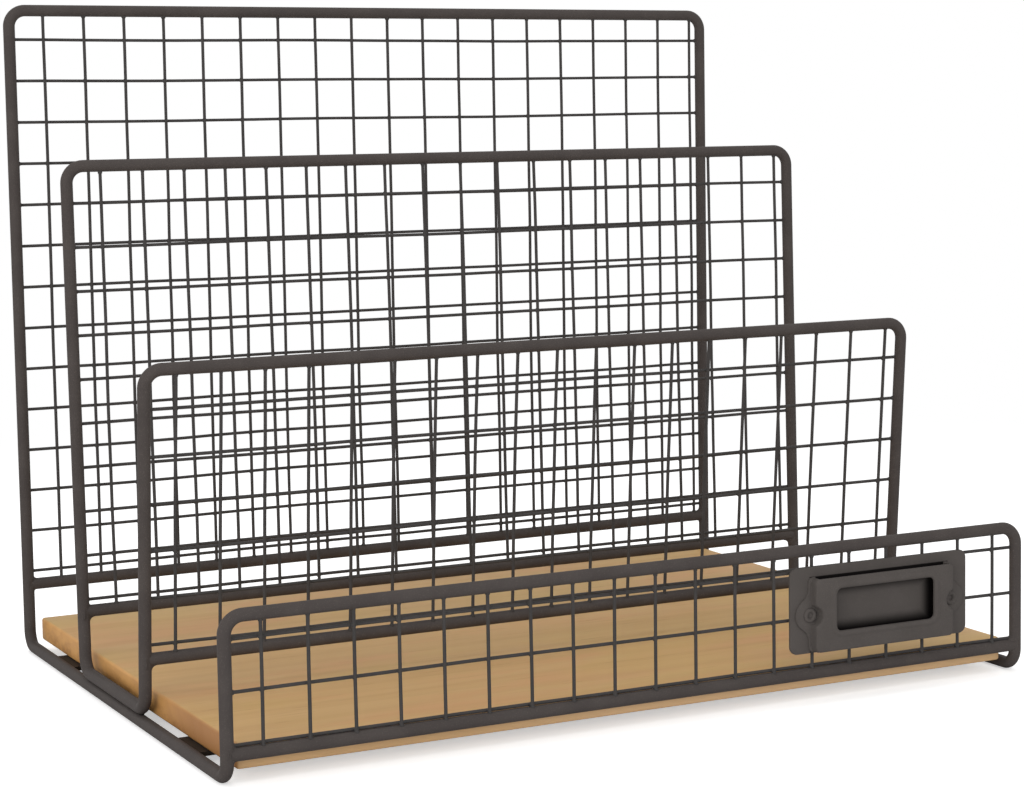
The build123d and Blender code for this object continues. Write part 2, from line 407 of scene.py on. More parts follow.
@dataclass(frozen=True)
class PaintedPocketShade:
    """Painted shade on the part of an upright plate that a pocket covers: colour darkened for the shade
    under the pocket's sheet.

    Attributes:
        middle: Middle of the pocket's window.
        window: Half the width and height of the window.
        pocket: Half the width and height of the pocket.
        pocket_lift: From the window's middle up to the pocket's.
        fade: How far into the window the painted shade fades in.
        fade_over: How far outside the window the painted shade is full.
        pocket_edge: Distances from the pocket's edge between which the painted shade ends.
        colour: Colour of the painted shade, near black.
    """

    middle: Point
    window: Flat
    pocket: Flat
    pocket_lift: float
    fade: float = 4 * MM
    fade_over: float = 1 * MM
    pocket_edge: Flat = (-0.1 * MM, 0.3 * MM)
    colour: Colour = (0.006, 0.005, 0.005, 1.0)

    def mask(self, sheet: NodeSheet) -> NodeSocket:
        """Adds the mask of the painted shade where the pocket covers the plate.

        Args:
            sheet: Sheet of the material.

        Returns:
            The socket of a value from 0, open, to 1, covered.
        """
        about = sheet.split(sheet.vector("SUBTRACT", sheet.place(), self.middle))

        def reach(half: Flat, lift: float) -> NodeSocket:
            """Adds the distance outside a rectangle.

            Args:
                half: Half its width and height.
                lift: Its middle over the window's.

            Returns:
                The distance's socket.
            """
            across = sheet.minus(sheet.math("ABSOLUTE", about["X"]), half[0])
            up = sheet.minus(sheet.math("ABSOLUTE", sheet.minus(about["Z"], lift)), half[1])
            return sheet.math("MAXIMUM", across, up)

        covered = sheet.remap(reach(self.window, 0.0), -self.fade, self.fade_over)
        inside = sheet.remap(reach(self.pocket, self.pocket_lift), *self.pocket_edge, 1.0, 0.0)
        return sheet.times(covered, inside)


@dataclass(frozen=True)
class PowderCoat:
    """Satin graphite powder coat on steel.

    Attributes:
        name: Material name.
        coat: Colour of the full coat.
        thin_coat: Colour of its thinner patches.
        patch_size: Size of the patches.
        peel_size: Size of the orange peel's cells.
        peel_depth: Height of the orange peel.
        peel_strength: Strength of its relief.
        roughness: Mean roughness.
        roughness_swing: How far the roughness varies.
        fleck: Strength of the light flecks.
        sheen: Strength of the reflection.
        hollow: Painted shade under a pocket, if any: a near-black colour where the pocket covers the plate.
    """

    name: str
    coat: Colour = (0.065, 0.056, 0.053, 1.0)
    thin_coat: Colour = (0.075, 0.065, 0.061, 1.0)
    patch_size: float = 14 * MM
    peel_size: float = 0.9 * MM
    peel_depth: float = 0.03 * MM
    peel_strength: float = 0.6
    roughness: float = 0.5
    roughness_swing: float = 0.22
    fleck: float = 0.35
    sheen: float = 0.03
    hollow: PaintedPocketShade | None = None

    def material(self) -> Material:
        """Builds the material.

        Returns:
            The new material.
        """
        made, sheet, shader = new_material(self.name)
        group = sheet.add("ShaderNodeGroup", {
            "Coat": self.coat, "Thin Coat": self.thin_coat, "Patch Size": self.patch_size,
            "Peel Size": self.peel_size, "Base Roughness": self.roughness,
            "Roughness Swing": self.roughness_swing, "Fleck": self.fleck}, node_tree=CoatTexture.tree())
        colour = group.outputs["Color"]
        # Painted shade: the colour darkens where a pocket covers the plate.
        if self.hollow:
            colour = sheet.blend(self.hollow.mask(sheet), colour, self.hollow.colour)
        sheet.fill(shader, {
            "Base Color": colour, "Roughness": group.outputs["Roughness"], "Specular IOR Level": self.sheen,
            "Normal": sheet.bump(group.outputs["Height"], self.peel_strength, self.peel_depth)})
        return made


@dataclass(frozen=True)
class BoardWood:
    """Pale sanded wood: growth rings about a pith under the board, fibre, pores and darker end grain.

    Attributes:
        name: Material name.
        early: Colour of the early wood.
        late: Colour of the late wood.
        warm: Colour of the warmer patches.
        straw: Colour of the yellower patches.
        pore: Colour of the pores.
        end: Colour of the end grain.
        end_dark: Colour of the end grain's darker blotches.
        side: Colour of the long sides: partly a paler wood, partly painted light that lifts the front face.
        pith: Place of the pith.
        ring_width: Width of one growth ring.
        ring_wander: How far the rings stray.
        ring_lean: How far they turn from the board's length.
        ring_share: Strength of the rings on the long grain.
        end_ring_share: Strength of the rings on the end grain.
        side_share: How far the long sides turn to that colour.
        warm_share: Strength of the warmer patches.
        straw_share: Strength of the yellower patches.
        fibre_share: Strength of the fibre.
        pore_share: Strength of the pores.
        fibre_stretch: How much the fibre is drawn out along each axis.
        fibre_scales: Coarse and fine fibres in a metre.
        end_rise: Heights between which the end grain's stain fades.
        end_stain: Strength of the stain at those heights.
        end_front: Depths between which the end grain darkens towards the front.
        end_front_share: How far it darkens there.
        roughness: Least roughness.
        sheen: Strength of the reflection.
        relief: Height of the fibre and pores.
        relief_strength: Strength of that relief.
        end_mask: Name of the mesh attribute that marks the end grain.
        side_mask: Name of the mesh attribute that marks the long sides.
    """

    name: str
    early: Colour = (0.560, 0.343, 0.136, 1.0)
    late: Colour = (0.470, 0.270, 0.098, 1.0)
    warm: Colour = (0.575, 0.310, 0.126, 1.0)
    straw: Colour = (0.545, 0.352, 0.118, 1.0)
    pore: Colour = (0.22, 0.12, 0.05, 1.0)
    end: Colour = (0.600, 0.312, 0.096, 1.0)
    end_dark: Colour = (0.320, 0.138, 0.042, 1.0)
    side: Colour = (0.710, 0.460, 0.248, 1.0)
    pith: Point = (0.0, 35 * MM, -85 * MM)
    ring_width: float = 7 * MM
    ring_wander: float = 26 * MM
    ring_lean: float = 0.05
    ring_share: float = 0.24
    end_ring_share: float = 0.16
    side_share: float = 0.85
    warm_share: float = 0.9
    straw_share: float = 0.65
    fibre_share: float = 0.36
    pore_share: float = 0.26
    fibre_stretch: Point = (0.045, 1.0, 1.0)
    fibre_scales: Flat = (130.0, 900.0)
    end_rise: Flat = (4 * MM, 12 * MM)
    end_stain: Flat = (0.9, 0.15)
    end_front: Flat = (-10 * MM, -75 * MM)
    end_front_share: float = 0.85
    roughness: float = 0.52
    sheen: float = 0.35
    relief: float = 0.06 * MM
    relief_strength: float = 0.35
    end_mask: str = "end_grain"
    side_mask: str = "side_grain"

    def material(self) -> Material:
        """Builds the material.

        Returns:
            The new material.
        """
        made, sheet, shader = new_material(self.name)
        place = sheet.place()
        streaks = sheet.add("ShaderNodeGroup", {
            "Place": place, "Stretch": self.fibre_stretch, "Coarse Scale": self.fibre_scales[0],
            "Fine Scale": self.fibre_scales[1]}, node_tree=StreakTexture.tree()).outputs
        coarse, fine = streaks["Coarse"], streaks["Fine"]
        rings = self._rings(sheet, place)
        pores = sheet.remap(fine, 0.60, 0.74)

        patches = self._drawn_noise(sheet, place, (0.25, 1.0, 1.0), 42.0, 3.0, 0.6)
        clouds = self._drawn_noise(sheet, place, (0.4, 1.0, 1.0), 23.0, 2.0, 0.6)
        grain = sheet.blend(sheet.times(rings, self.ring_share), self.early, self.late)
        for share, colour in ((sheet.remap(patches, 0.42, 0.66, 0.0, self.warm_share), self.warm),
                              (sheet.remap(clouds, 0.46, 0.62, 0.0, self.straw_share), self.straw),
                              # Long sides: partly paler wood, partly painted light that lifts the front
                              # face.
                              (sheet.times(sheet.marked(self.side_mask), self.side_share), self.side),
                              (sheet.remap(coarse, 0.42, 0.72, 0.0, self.fibre_share), self.late),
                              (sheet.times(pores, self.pore_share), self.pore)):
            grain = sheet.blend(share, grain, colour)
        colour = sheet.blend(sheet.marked(self.end_mask), grain, self._end_grain(sheet, place, rings))

        rough = sheet.plus(self.roughness, sheet.times(coarse, 0.12))
        height = sheet.minus(sheet.times(fine, 0.8), pores)
        sheet.fill(shader, {
            "Base Color": colour, "Roughness": sheet.plus(rough, sheet.times(pores, 0.15)),
            "Specular IOR Level": self.sheen,
            "Normal": sheet.bump(height, self.relief_strength, self.relief)})
        return made

    @staticmethod
    def _drawn_noise(sheet: NodeSheet, place: NodeSocket, draw: Point, *noise: float) -> NodeSocket:
        """Adds a noise that is drawn out along the axes."""
        return sheet.noise(sheet.vector("MULTIPLY", place, draw), *noise)

    def _end_grain(self, sheet: NodeSheet, place: NodeSocket, rings: NodeSocket) -> NodeSocket:
        """Adds the colour of the end grain, stained low down and darker towards the front.

        Args:
            sheet: Sheet of the material.
            place: Object coordinates.
            rings: Value of the growth rings.

        Returns:
            The colour's socket.
        """
        blotches = self._drawn_noise(sheet, place, (0.3, 1.0, 2.2), 75.0, 4.0, 0.65)
        parts = sheet.split(place)
        low = sheet.remap(parts["Z"], *self.end_rise, *self.end_stain)
        ahead = sheet.remap(parts["Y"], *self.end_front, 0.0, self.end_front_share)
        end_darkening = sheet.math("MAXIMUM", sheet.times(sheet.remap(blotches, 0.38, 0.66), low), ahead)
        colour = sheet.blend(end_darkening, self.end, self.end_dark)
        return sheet.blend(sheet.times(rings, self.end_ring_share), colour, self.end_dark)

    def _rings(self, sheet: NodeSheet, place: NodeSocket) -> NodeSocket:
        """Adds the growth rings about the pith.

        Args:
            sheet: Sheet of the material.
            place: Object coordinates.

        Returns:
            The socket of a value from early wood, 0, to late wood, 1.
        """
        about = sheet.split(sheet.vector("SUBTRACT", place, self.pith))
        across = sheet.plus(about["Y"], sheet.times(about["X"], self.ring_lean))
        squares = sheet.plus(sheet.times(across, across), sheet.times(about["Z"], about["Z"]))
        wander = self._drawn_noise(sheet, place, (0.16, 1.0, 1.0), 26.0, 3.0, 0.5)
        reach = sheet.plus(sheet.math("SQRT", squares), sheet.times(wander, self.ring_wander))
        turn = sheet.math("FRACT", sheet.math("DIVIDE", reach, self.ring_width))
        return sheet.times(sheet.remap(turn, 0.25, 0.88), sheet.remap(turn, 0.9, 1.0, 1.0, 0.0))


@dataclass(frozen=True)
class ZincSteel:
    """Bright zinc plating on a screw, with turning marks and a dull bloom.

    Attributes:
        name: Material name.
        bright: Colour of the bright zinc.
        bloom: Colour of the dull bloom.
        mark_stretch: How much the turning marks are drawn out along each axis.
        mark_scales: Coarse and fine marks in a metre.
        roughness: Roughness of the bright zinc.
        bloom_roughness: What the bloom adds to it.
    """

    name: str
    bright: Colour = (0.62, 0.61, 0.58, 1.0)
    bloom: Colour = (0.36, 0.35, 0.33, 1.0)
    mark_stretch: Point = (1.0, 1.0, 0.1)
    mark_scales: Flat = (700.0, 4200.0)
    roughness: float = 0.28
    bloom_roughness: float = 0.22

    def material(self) -> Material:
        """Builds the material.

        Returns:
            The new material.
        """
        made, sheet, shader = new_material(self.name)
        marks = sheet.add("ShaderNodeGroup", {
            "Place": sheet.place(), "Stretch": self.mark_stretch, "Coarse Scale": self.mark_scales[0],
            "Fine Scale": self.mark_scales[1]}, node_tree=StreakTexture.tree()).outputs
        dull = sheet.remap(marks["Coarse"], 0.4, 0.7)
        sheet.fill(shader, {
            "Base Color": sheet.blend(dull, self.bright, self.bloom), "Metallic": 1.0,
            "Roughness": sheet.plus(self.roughness, sheet.times(dull, self.bloom_roughness)),
            "Normal": sheet.bump(marks["Fine"], 0.3, 0.02 * MM)})
        return made


class GeometryTree:
    """A Geometry Nodes tree with named inputs, put to use on one host mesh at a time."""

    def __init__(self, name: str, *inputs: tuple[str, str, Value]) -> None:
        """Starts a tree.

        Args:
            name: Name of the tree.
            inputs: Name, socket type and default of each input after the host's geometry.
        """
        self.tree = bpy.data.node_groups.new(name, "GeometryNodeTree")
        self.tree.is_modifier = True
        self.sheet = NodeSheet(self.tree)
        self.given = self.sheet.take(("Geometry", GEOMETRY, None), *inputs, ("Finish", MATERIAL, None))

    def add(self, kind: str, inputs: Mapping[str, Value], **settings: object) -> NodeSocket:
        """Adds a node and gives its first output."""
        return self.sheet.add(kind, inputs, **settings).outputs[0]

    def sweep(self, path: NodeSocket) -> NodeSocket:
        """Sweeps the tree's round wire, of its given radius and sides, along a path.

        Args:
            path: Curve of the path.

        Returns:
            The wire's socket.
        """
        section = self.add("GeometryNodeCurvePrimitiveCircle", {
            "Resolution": self.given["Wire Sides"], "Radius": self.given["Wire Radius"]})
        return self.add("GeometryNodeCurveToMesh", {
            "Curve": path, "Profile Curve": section, "Fill Caps": True})

    def vary(self, jitter: NodeSocket, seed: NodeSocket) -> NodeSocket:
        """Adds a random size about 1 for each copy.

        Args:
            jitter: How far the sizes vary.
            seed: Seed of the sizes.

        Returns:
            The size's socket.
        """
        limits = {"Min": self.sheet.minus(1.0, jitter), "Max": self.sheet.plus(1.0, jitter)}
        return self.sheet.result(self.sheet.add(
            "FunctionNodeRandomValue", {**limits, "Seed": seed}, data_type="FLOAT"))

    def smooth(self, shape: NodeSocket) -> NodeSocket:
        """Shades a shape smooth."""
        return self.add("GeometryNodeSetShadeSmooth", {"Geometry": shape})

    def close(self, shape: NodeSocket) -> "GeometryTree":
        """Ends the tree: real geometry in the given finish.

        Args:
            shape: Geometry that the tree has made.

        Returns:
            The tree.
        """
        real = self.add("GeometryNodeRealizeInstances", {"Geometry": shape})
        dressed = self.add("GeometryNodeSetMaterial", {"Geometry": real, "Material": self.given["Finish"]})
        self.sheet.give(("Geometry", GEOMETRY, dressed))
        return self

    def run(self, host: Object, finish: Material, **values: object) -> Object:
        """Turns a host into the plain mesh that the tree makes of it.

        Args:
            host: Object with the points or edges that the tree reads.
            finish: Material of the result.
            values: Values by input name, with _ for a space.

        Returns:
            The host, now with the finished mesh.
        """
        modifier = host.modifiers.new(self.tree.name, "NODES")
        modifier.node_group = self.tree
        wanted = {name.replace("_", " "): value for name, value in values.items()} | {"finish": finish}
        for item in self.tree.interface.items_tree:
            if item.item_type == "SOCKET" and item.in_out == "INPUT" and item.name.lower() in wanted:
                modifier[item.identifier] = wanted[item.name.lower()]
        make_plain(host)
        outward(host.data)
        return host


def sway_group() -> NodeTree:
    """Makes the group that moves a point as a hand-set wire strays from its straight line.

    Returns:
        The geometry node group.
    """
    tree = bpy.data.node_groups.new("hand_sway", "GeometryNodeTree")
    sheet = NodeSheet(tree)
    given = sheet.take(("Sway", FLOAT, 0.4 * MM), ("Sway Scale", FLOAT, 12.0), ("Seed", FLOAT, 0.0))
    noise = sheet.add("ShaderNodeTexNoise", {
        "Vector": sheet.add("GeometryNodeInputPosition").outputs[0], "W": given["Seed"],
        "Scale": given["Sway Scale"], "Detail": 1.5}, noise_dimensions="4D")
    centred = sheet.vector("SUBTRACT", noise.outputs["Color"], (0.5, 0.5, 0.5))
    flat = sheet.vector("MULTIPLY", centred, SWAY_AXES)
    scaled = sheet.add("ShaderNodeVectorMath", {"Vector": flat, "Scale": given["Sway"]}, operation="SCALE")
    sheet.give(("Offset", VECTOR, scaled.outputs["Vector"]))
    return tree


def wire_tree() -> GeometryTree:
    """Makes the tree of a bent wire: rounds a path's corners and sweeps a round section along it.

    Returns:
        The tree.
    """
    made = GeometryTree("bent_wire", ("Bend Radius", FLOAT, 8 * MM), ("Bend Steps", INT, 10),
                        ("Wire Radius", FLOAT, 2.1 * MM), ("Wire Sides", INT, 28))
    line = made.add("GeometryNodeMeshToCurve", {"Mesh": made.given["Geometry"]})
    bent = made.add("GeometryNodeFilletCurve", {
        "Curve": line, "Count": made.given["Bend Steps"], "Radius": made.given["Bend Radius"],
        "Limit Radius": True}, mode="POLY")
    return made.close(made.smooth(made.sweep(bent)))


def panel_tree() -> GeometryTree:
    """Makes the tree of a welded panel: hand-set wires on the host's edges, nubs on its weld points.

    Returns:
        The tree.
    """
    made = GeometryTree(
        "welded_mesh", ("Step", FLOAT, 6 * MM), ("Wire Radius", FLOAT, 0.6 * MM), ("Wire Sides", INT, 10),
        ("Sway", FLOAT, 0.3 * MM), ("Sway Scale", FLOAT, 12.0), ("Sway Seed", FLOAT, 0.0),
        ("Nub Radius", FLOAT, 0.8 * MM), ("Nub Jitter", FLOAT, 0.15), ("Nub Seed", INT, 1))
    sheet, given = made.sheet, made.given
    sway = made.add("GeometryNodeGroup", {
        "Sway": given["Sway"], "Sway Scale": given["Sway Scale"], "Seed": given["Sway Seed"]},
        node_tree=sway_group())

    line = made.add("GeometryNodeMeshToCurve", {"Mesh": given["Geometry"]})
    even = made.add("GeometryNodeResampleCurve", {"Curve": line, "Length": given["Step"]}, mode="LENGTH")
    wires = made.sweep(made.add("GeometryNodeSetPosition", {"Geometry": even, "Offset": sway}))

    weld = made.add("GeometryNodeInputNamedAttribute", {"Name": WELD_ATTRIBUTE}, data_type="FLOAT")
    spots = made.add("GeometryNodeSetPosition", {"Geometry": given["Geometry"], "Offset": sway})
    drop = made.add("GeometryNodeMeshUVSphere", {"Segments": 8, "Rings": 6, "Radius": 1.0})
    grown = made.vary(given["Nub Jitter"], given["Nub Seed"])
    spin = sheet.add("FunctionNodeRandomValue", {
        "Min": (0.0, 0.0, 0.0), "Max": (0.5, 0.5, math.tau), "Seed": given["Nub Seed"]},
        data_type="FLOAT_VECTOR")
    nubs = made.add("GeometryNodeInstanceOnPoints", {
        "Points": spots, "Selection": sheet.math("GREATER_THAN", weld, LEAST_WELD), "Instance": drop,
        "Rotation": sheet.result(spin), "Scale": sheet.times(sheet.times(weld, given["Nub Radius"]), grown)})
    both = sheet.add("GeometryNodeJoinGeometry")
    for shape in (wires, nubs):
        sheet.feed(both.inputs[0], shape)
    return made.close(made.smooth(both.outputs[0]))


@cache
def copies_tree() -> GeometryTree:
    """Makes the tree that sets copies of one part on the host's points, turned and sized by point.

    Returns:
        The tree, made once.
    """
    made = GeometryTree("set_copies", ("Part", OBJECT, None), ("Size Jitter", FLOAT, 0.0), ("Seed", INT, 1))
    part = made.sheet.add("GeometryNodeObjectInfo", {"Object": made.given["Part"]},
                          transform_space="ORIGINAL")
    turn = made.add("GeometryNodeInputNamedAttribute", {"Name": TURN_ATTRIBUTE}, data_type="FLOAT_VECTOR")
    return made.close(made.add("GeometryNodeInstanceOnPoints", {
        "Points": made.given["Geometry"], "Instance": part.outputs["Geometry"], "Rotation": turn,
        "Scale": made.vary(made.given["Size Jitter"], made.given["Seed"])}))


def make_plain(host: Object) -> None:
    """Replaces an object's mesh by what its modifiers make of it, and takes them off.

    Args:
        host: Object to make plain.
    """
    graph = bpy.context.evaluated_depsgraph_get()
    mesh = bpy.data.meshes.new_from_object(host.evaluated_get(graph), depsgraph=graph)
    spent = host.data
    host.modifiers.clear()
    host.data = mesh
    bpy.data.meshes.remove(spent)
    mesh.name = host.name


def outward(mesh: Mesh) -> None:
    """Merges doubled points of a closed mesh and turns its faces outwards.

    Args:
        mesh: Mesh to mend in place.
    """
    work = bmesh.new()
    work.from_mesh(mesh)
    bmesh.ops.remove_doubles(work, verts=work.verts, dist=1e-7)
    bmesh.ops.dissolve_degenerate(work, dist=1e-8, edges=work.edges)
    bmesh.ops.recalc_face_normals(work, faces=work.faces)
    work.to_mesh(mesh)
    work.free()


def new_object(name: str, points: Sequence[Sequence[float]], faces: Sequence[Sequence[int]] = (),
               edges: Sequence[Sequence[int]] = ()) -> Object:
    """Makes a mesh object at the origin.

    Args:
        name: Name of the object and its mesh.
        points: Points in the part's frame.
        faces: Faces as lists of points.
        edges: Pairs of points.

    Returns:
        The object, linked to the scene.
    """
    mesh = bpy.data.meshes.new(name)
    mesh.from_pydata([tuple(p) for p in points], list(edges), list(faces))
    mesh.update()
    made = bpy.data.objects.new(name, mesh)
    bpy.context.scene.collection.objects.link(made)
    return made


def point_values(host: Object, name: str, kind: str, values: Sequence[object]) -> None:
    """Gives each point of a host a named value.

    Args:
        host: Mesh object.
        name: Name of the attribute.
        kind: FLOAT or FLOAT_VECTOR.
        values: One value for each point.
    """
    layer = host.data.attributes.new(name, kind, "POINT")
    for item, value in zip(layer.data, values):
        setattr(item, "vector" if kind == "FLOAT_VECTOR" else "value", value)


def set_copies(name: str, skin: Skin, places: Sequence[Place], finish: Material, jitter: float = 0.0,
               seed: int = 1) -> Object:
    """Sets copies of a part on places.

    Args:
        name: Name of the new piece.
        skin: Points and faces of the part.
        places: Place and turn of each copy.
        finish: Material of the copies.
        jitter: How far their sizes vary.
        seed: Seed of that.

    Returns:
        The new piece.
    """
    part = new_object(f"{name}_part", *skin)
    outward(part.data)
    host = new_object(name, [place for place, _ in places])
    point_values(host, TURN_ATTRIBUTE, "FLOAT_VECTOR", [tuple(turn) for _, turn in places])
    made = copies_tree().run(host, finish, part=part, size_jitter=jitter, seed=seed)
    bpy.data.objects.remove(part)
    return made


def hand_over(piece: Object, slot: Slot, *nodes: str) -> Object:
    """Puts a finished piece on the part's body and reports it.

    Args:
        piece: Finished piece.
        slot: A material slot of the record; not used.
        nodes: CAD nodes that it stands for.

    Returns:
        The piece.
    """
    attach(piece, ROOT)
    if nodes:
        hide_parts(*nodes)
    LOG.info("%s: %d faces", piece.name, len(piece.data.polygons))
    return piece


def crease(mesh: Mesh, degrees: float) -> None:
    """Shades a mesh smooth, with sharp edges where its faces turn by more than an angle."""
    mesh.shade_smooth()
    mesh.set_sharp_from_angle(angle=math.radians(degrees))


def dress(mesh: Mesh, finish: Material) -> None:
    """Gives a mesh one finish in place of all others."""
    mesh.materials.clear()
    mesh.materials.append(finish)


def ring_mesh(rings: Sequence[Sequence[Point]], closed: bool = False) -> Skin:
    """Joins rings of equal counts into a skin.

    Args:
        rings: Rings of points, in order.
        closed: Whether the last ring joins the first; otherwise both ends are capped.

    Returns:
        The points and the faces.
    """
    count = len(rings[0])
    points = [p for ring in rings for p in ring]
    faces = []
    for i in range(len(rings) if closed else len(rings) - 1):
        low, high = i * count, (i + 1) % len(rings) * count
        for j in range(count):
            k = (j + 1) % count
            faces.append((low + j, low + k, high + k, high + j))
    if not closed:
        faces.append(tuple(range(count))[::-1])
        faces.append(tuple(range(len(points) - count, len(points))))
    return points, faces


def turn_angles(sides: int) -> list[float]:
    """Gives the angles of a full turn in equal steps."""
    return [math.tau * n / sides for n in range(sides)]


def round_ring(radius: float, height: float, sides: int) -> list[Point]:
    """Gives a round ring about Z at a height."""
    return [(radius * math.cos(a), radius * math.sin(a), height) for a in turn_angles(sides)]


def soft_least(first: float, second: float, blend: float) -> float:
    """Gives the lesser of two distances, with a rounded change of a given width between them."""
    share = max(blend - abs(first - second), 0.0) / blend
    return min(first, second) - share * share * blend / 4


def rounded_rectangle(half_x: float, half_y: float, corner: float, steps: int) -> list[Flat]:
    """Gives a rectangle with round corners, counterclockwise.

    Args:
        half_x: Half its width.
        half_y: Half its height.
        corner: Corner radius.
        steps: Steps in a corner.

    Returns:
        The points.
    """
    points = []
    for number, (sx, sy) in enumerate(((1, 1), (-1, 1), (-1, -1), (1, -1))):
        for step in range(steps + 1):
            angle = math.pi / 2 * (number + step / steps)
            points.append((sx * (half_x - corner) + corner * math.cos(angle),
                           sy * (half_y - corner) + corner * math.sin(angle)))
    return points


def even_angles(outline: Sequence[Flat], count: int) -> list[float]:
    """Gives the angles of points that are evenly spaced along an outline.

    Args:
        outline: Closed outline about the origin.
        count: Number of angles.

    Returns:
        The angles.
    """
    ends = list(zip(outline, [*outline[1:], outline[0]]))
    lengths = [math.dist(a, b) for a, b in ends]
    total, angles = sum(lengths), []
    for number in range(count):
        left = total * number / count
        for (a, b), length in zip(ends, lengths):
            if left <= length:
                share = left / max(length, 1e-12)
                angles.append(math.atan2(a[1] + (b[1] - a[1]) * share, a[0] + (b[0] - a[0]) * share))
                break
            left -= length
    return angles


def even_places(first: float, last: float, pitch: float) -> list[float]:
    """Gives places in even steps, from the first as far as the last."""
    count = math.floor(abs(last - first) / pitch) + 1
    return [first + math.copysign(n * pitch, last - first) for n in range(count)]


@dataclass(frozen=True)
class Panel:
    """One wire panel: where it stands and how its mesh is set out.

    Attributes:
        name: Which panel it is.
        loop: Frame wire that it belongs to.
        height: From the desk to the top of its top bar.
        lean_deg: How far it leans back.
        mesh_start: First upright mesh wire, from the left frame upright.
        cross_start: First cross wire, below the top bar.
        cross_pitch: From one cross wire to the next.
        mesh_pitch: From one upright mesh wire to the next.
        side_room: Room that the mesh leaves at the right upright, in wire radii.
        foot_room: Room that it leaves over the bottom bar, in wire radii.
    """

    name: PanelName
    loop: Loop
    height: float
    lean_deg: float
    mesh_start: float
    cross_start: float
    cross_pitch: float
    mesh_pitch: float = 15.84 * MM
    side_room: float = 2.0
    foot_room: float = 1.25

    def node(self, kind: str) -> str:
        """Gives the name of one of the panel's CAD nodes."""
        return f"{self.name.value}_{kind}"

    @property
    def bar_node(self) -> str:
        """Name of the CAD node of the bottom bar."""
        return self.node("bottom_bar")

    @property
    def wire_radius(self) -> float:
        """Radius of the frame wire."""
        low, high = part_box(self.bar_node)
        return (high.z - low.z) / 2

    @property
    def rail_x(self) -> float:
        """Middle of the right rail and uprights."""
        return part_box(Loop.OUTER.value)[1].x - self.wire_radius

    @property
    def bar_middle(self) -> Vector:
        """Middle of the bottom bar."""
        low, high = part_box(self.bar_node)
        return Vector((0.0, (low.y + high.y) / 2, (low.z + high.z) / 2))

    @property
    def lean(self) -> float:
        """How far the panel leans back, in radians."""
        return math.radians(self.lean_deg)

    @property
    def up(self) -> Vector:
        """Direction up the panel."""
        return Vector((0.0, math.sin(self.lean), math.cos(self.lean)))

    @property
    def front(self) -> Vector:
        """Direction out of the panel's front."""
        return Vector((0.0, -math.cos(self.lean), math.sin(self.lean)))

    def rise(self, height: float) -> float:
        """Gives the way up the panel, from its bar, to a height over the desk."""
        return (height - self.bar_middle.z) / math.cos(self.lean)

    @property
    def top(self) -> float:
        """Middle of the top bar, up the panel from the bottom bar."""
        return self.rise(self.height - self.wire_radius)

    @property
    def foot(self) -> float:
        """Foot of the panel's bends, up the panel from the bottom bar."""
        return self.rise(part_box(self.loop.value)[0].z + self.wire_radius)

    def at(self, across: float, up: float, front: float = 0.0) -> Vector:
        """Gives a point of the panel.

        Args:
            across: To the right of the middle.
            up: Up the panel from the bottom bar.
            front: Ahead of the panel's middle plane.

        Returns:
            The point in the part's frame.
        """
        return self.bar_middle + Vector((across, 0.0, 0.0)) + self.up * up + self.front * front

    def upright_places(self) -> list[float]:
        """Gives the upright mesh wires' places across the panel."""
        last = self.rail_x - self.side_room * self.wire_radius
        return even_places(self.mesh_start - self.rail_x, last, self.mesh_pitch)

    def cross_places(self) -> list[float]:
        """Gives the cross wires' places up the panel."""
        last = self.foot_room * self.wire_radius
        return even_places(self.top - self.cross_start, last, self.cross_pitch)


PANELS: tuple[Panel, ...] = (
    Panel(PanelName.BACK, Loop.OUTER, 250 * MM, 0.0, 13 * MM, 11.1 * MM, 15.8 * MM),
    Panel(PanelName.SECOND, Loop.INNER, 192 * MM, 1.4, 12 * MM, 13.1 * MM, 16 * MM),
    Panel(PanelName.THIRD, Loop.INNER, 126 * MM, -4.7, 10.6 * MM, 13.4 * MM, 16.3 * MM),
    Panel(PanelName.FRONT, Loop.OUTER, 56 * MM, 0.0, 11.6 * MM, 7.4 * MM, 16.85 * MM, 15.62 * MM),
)


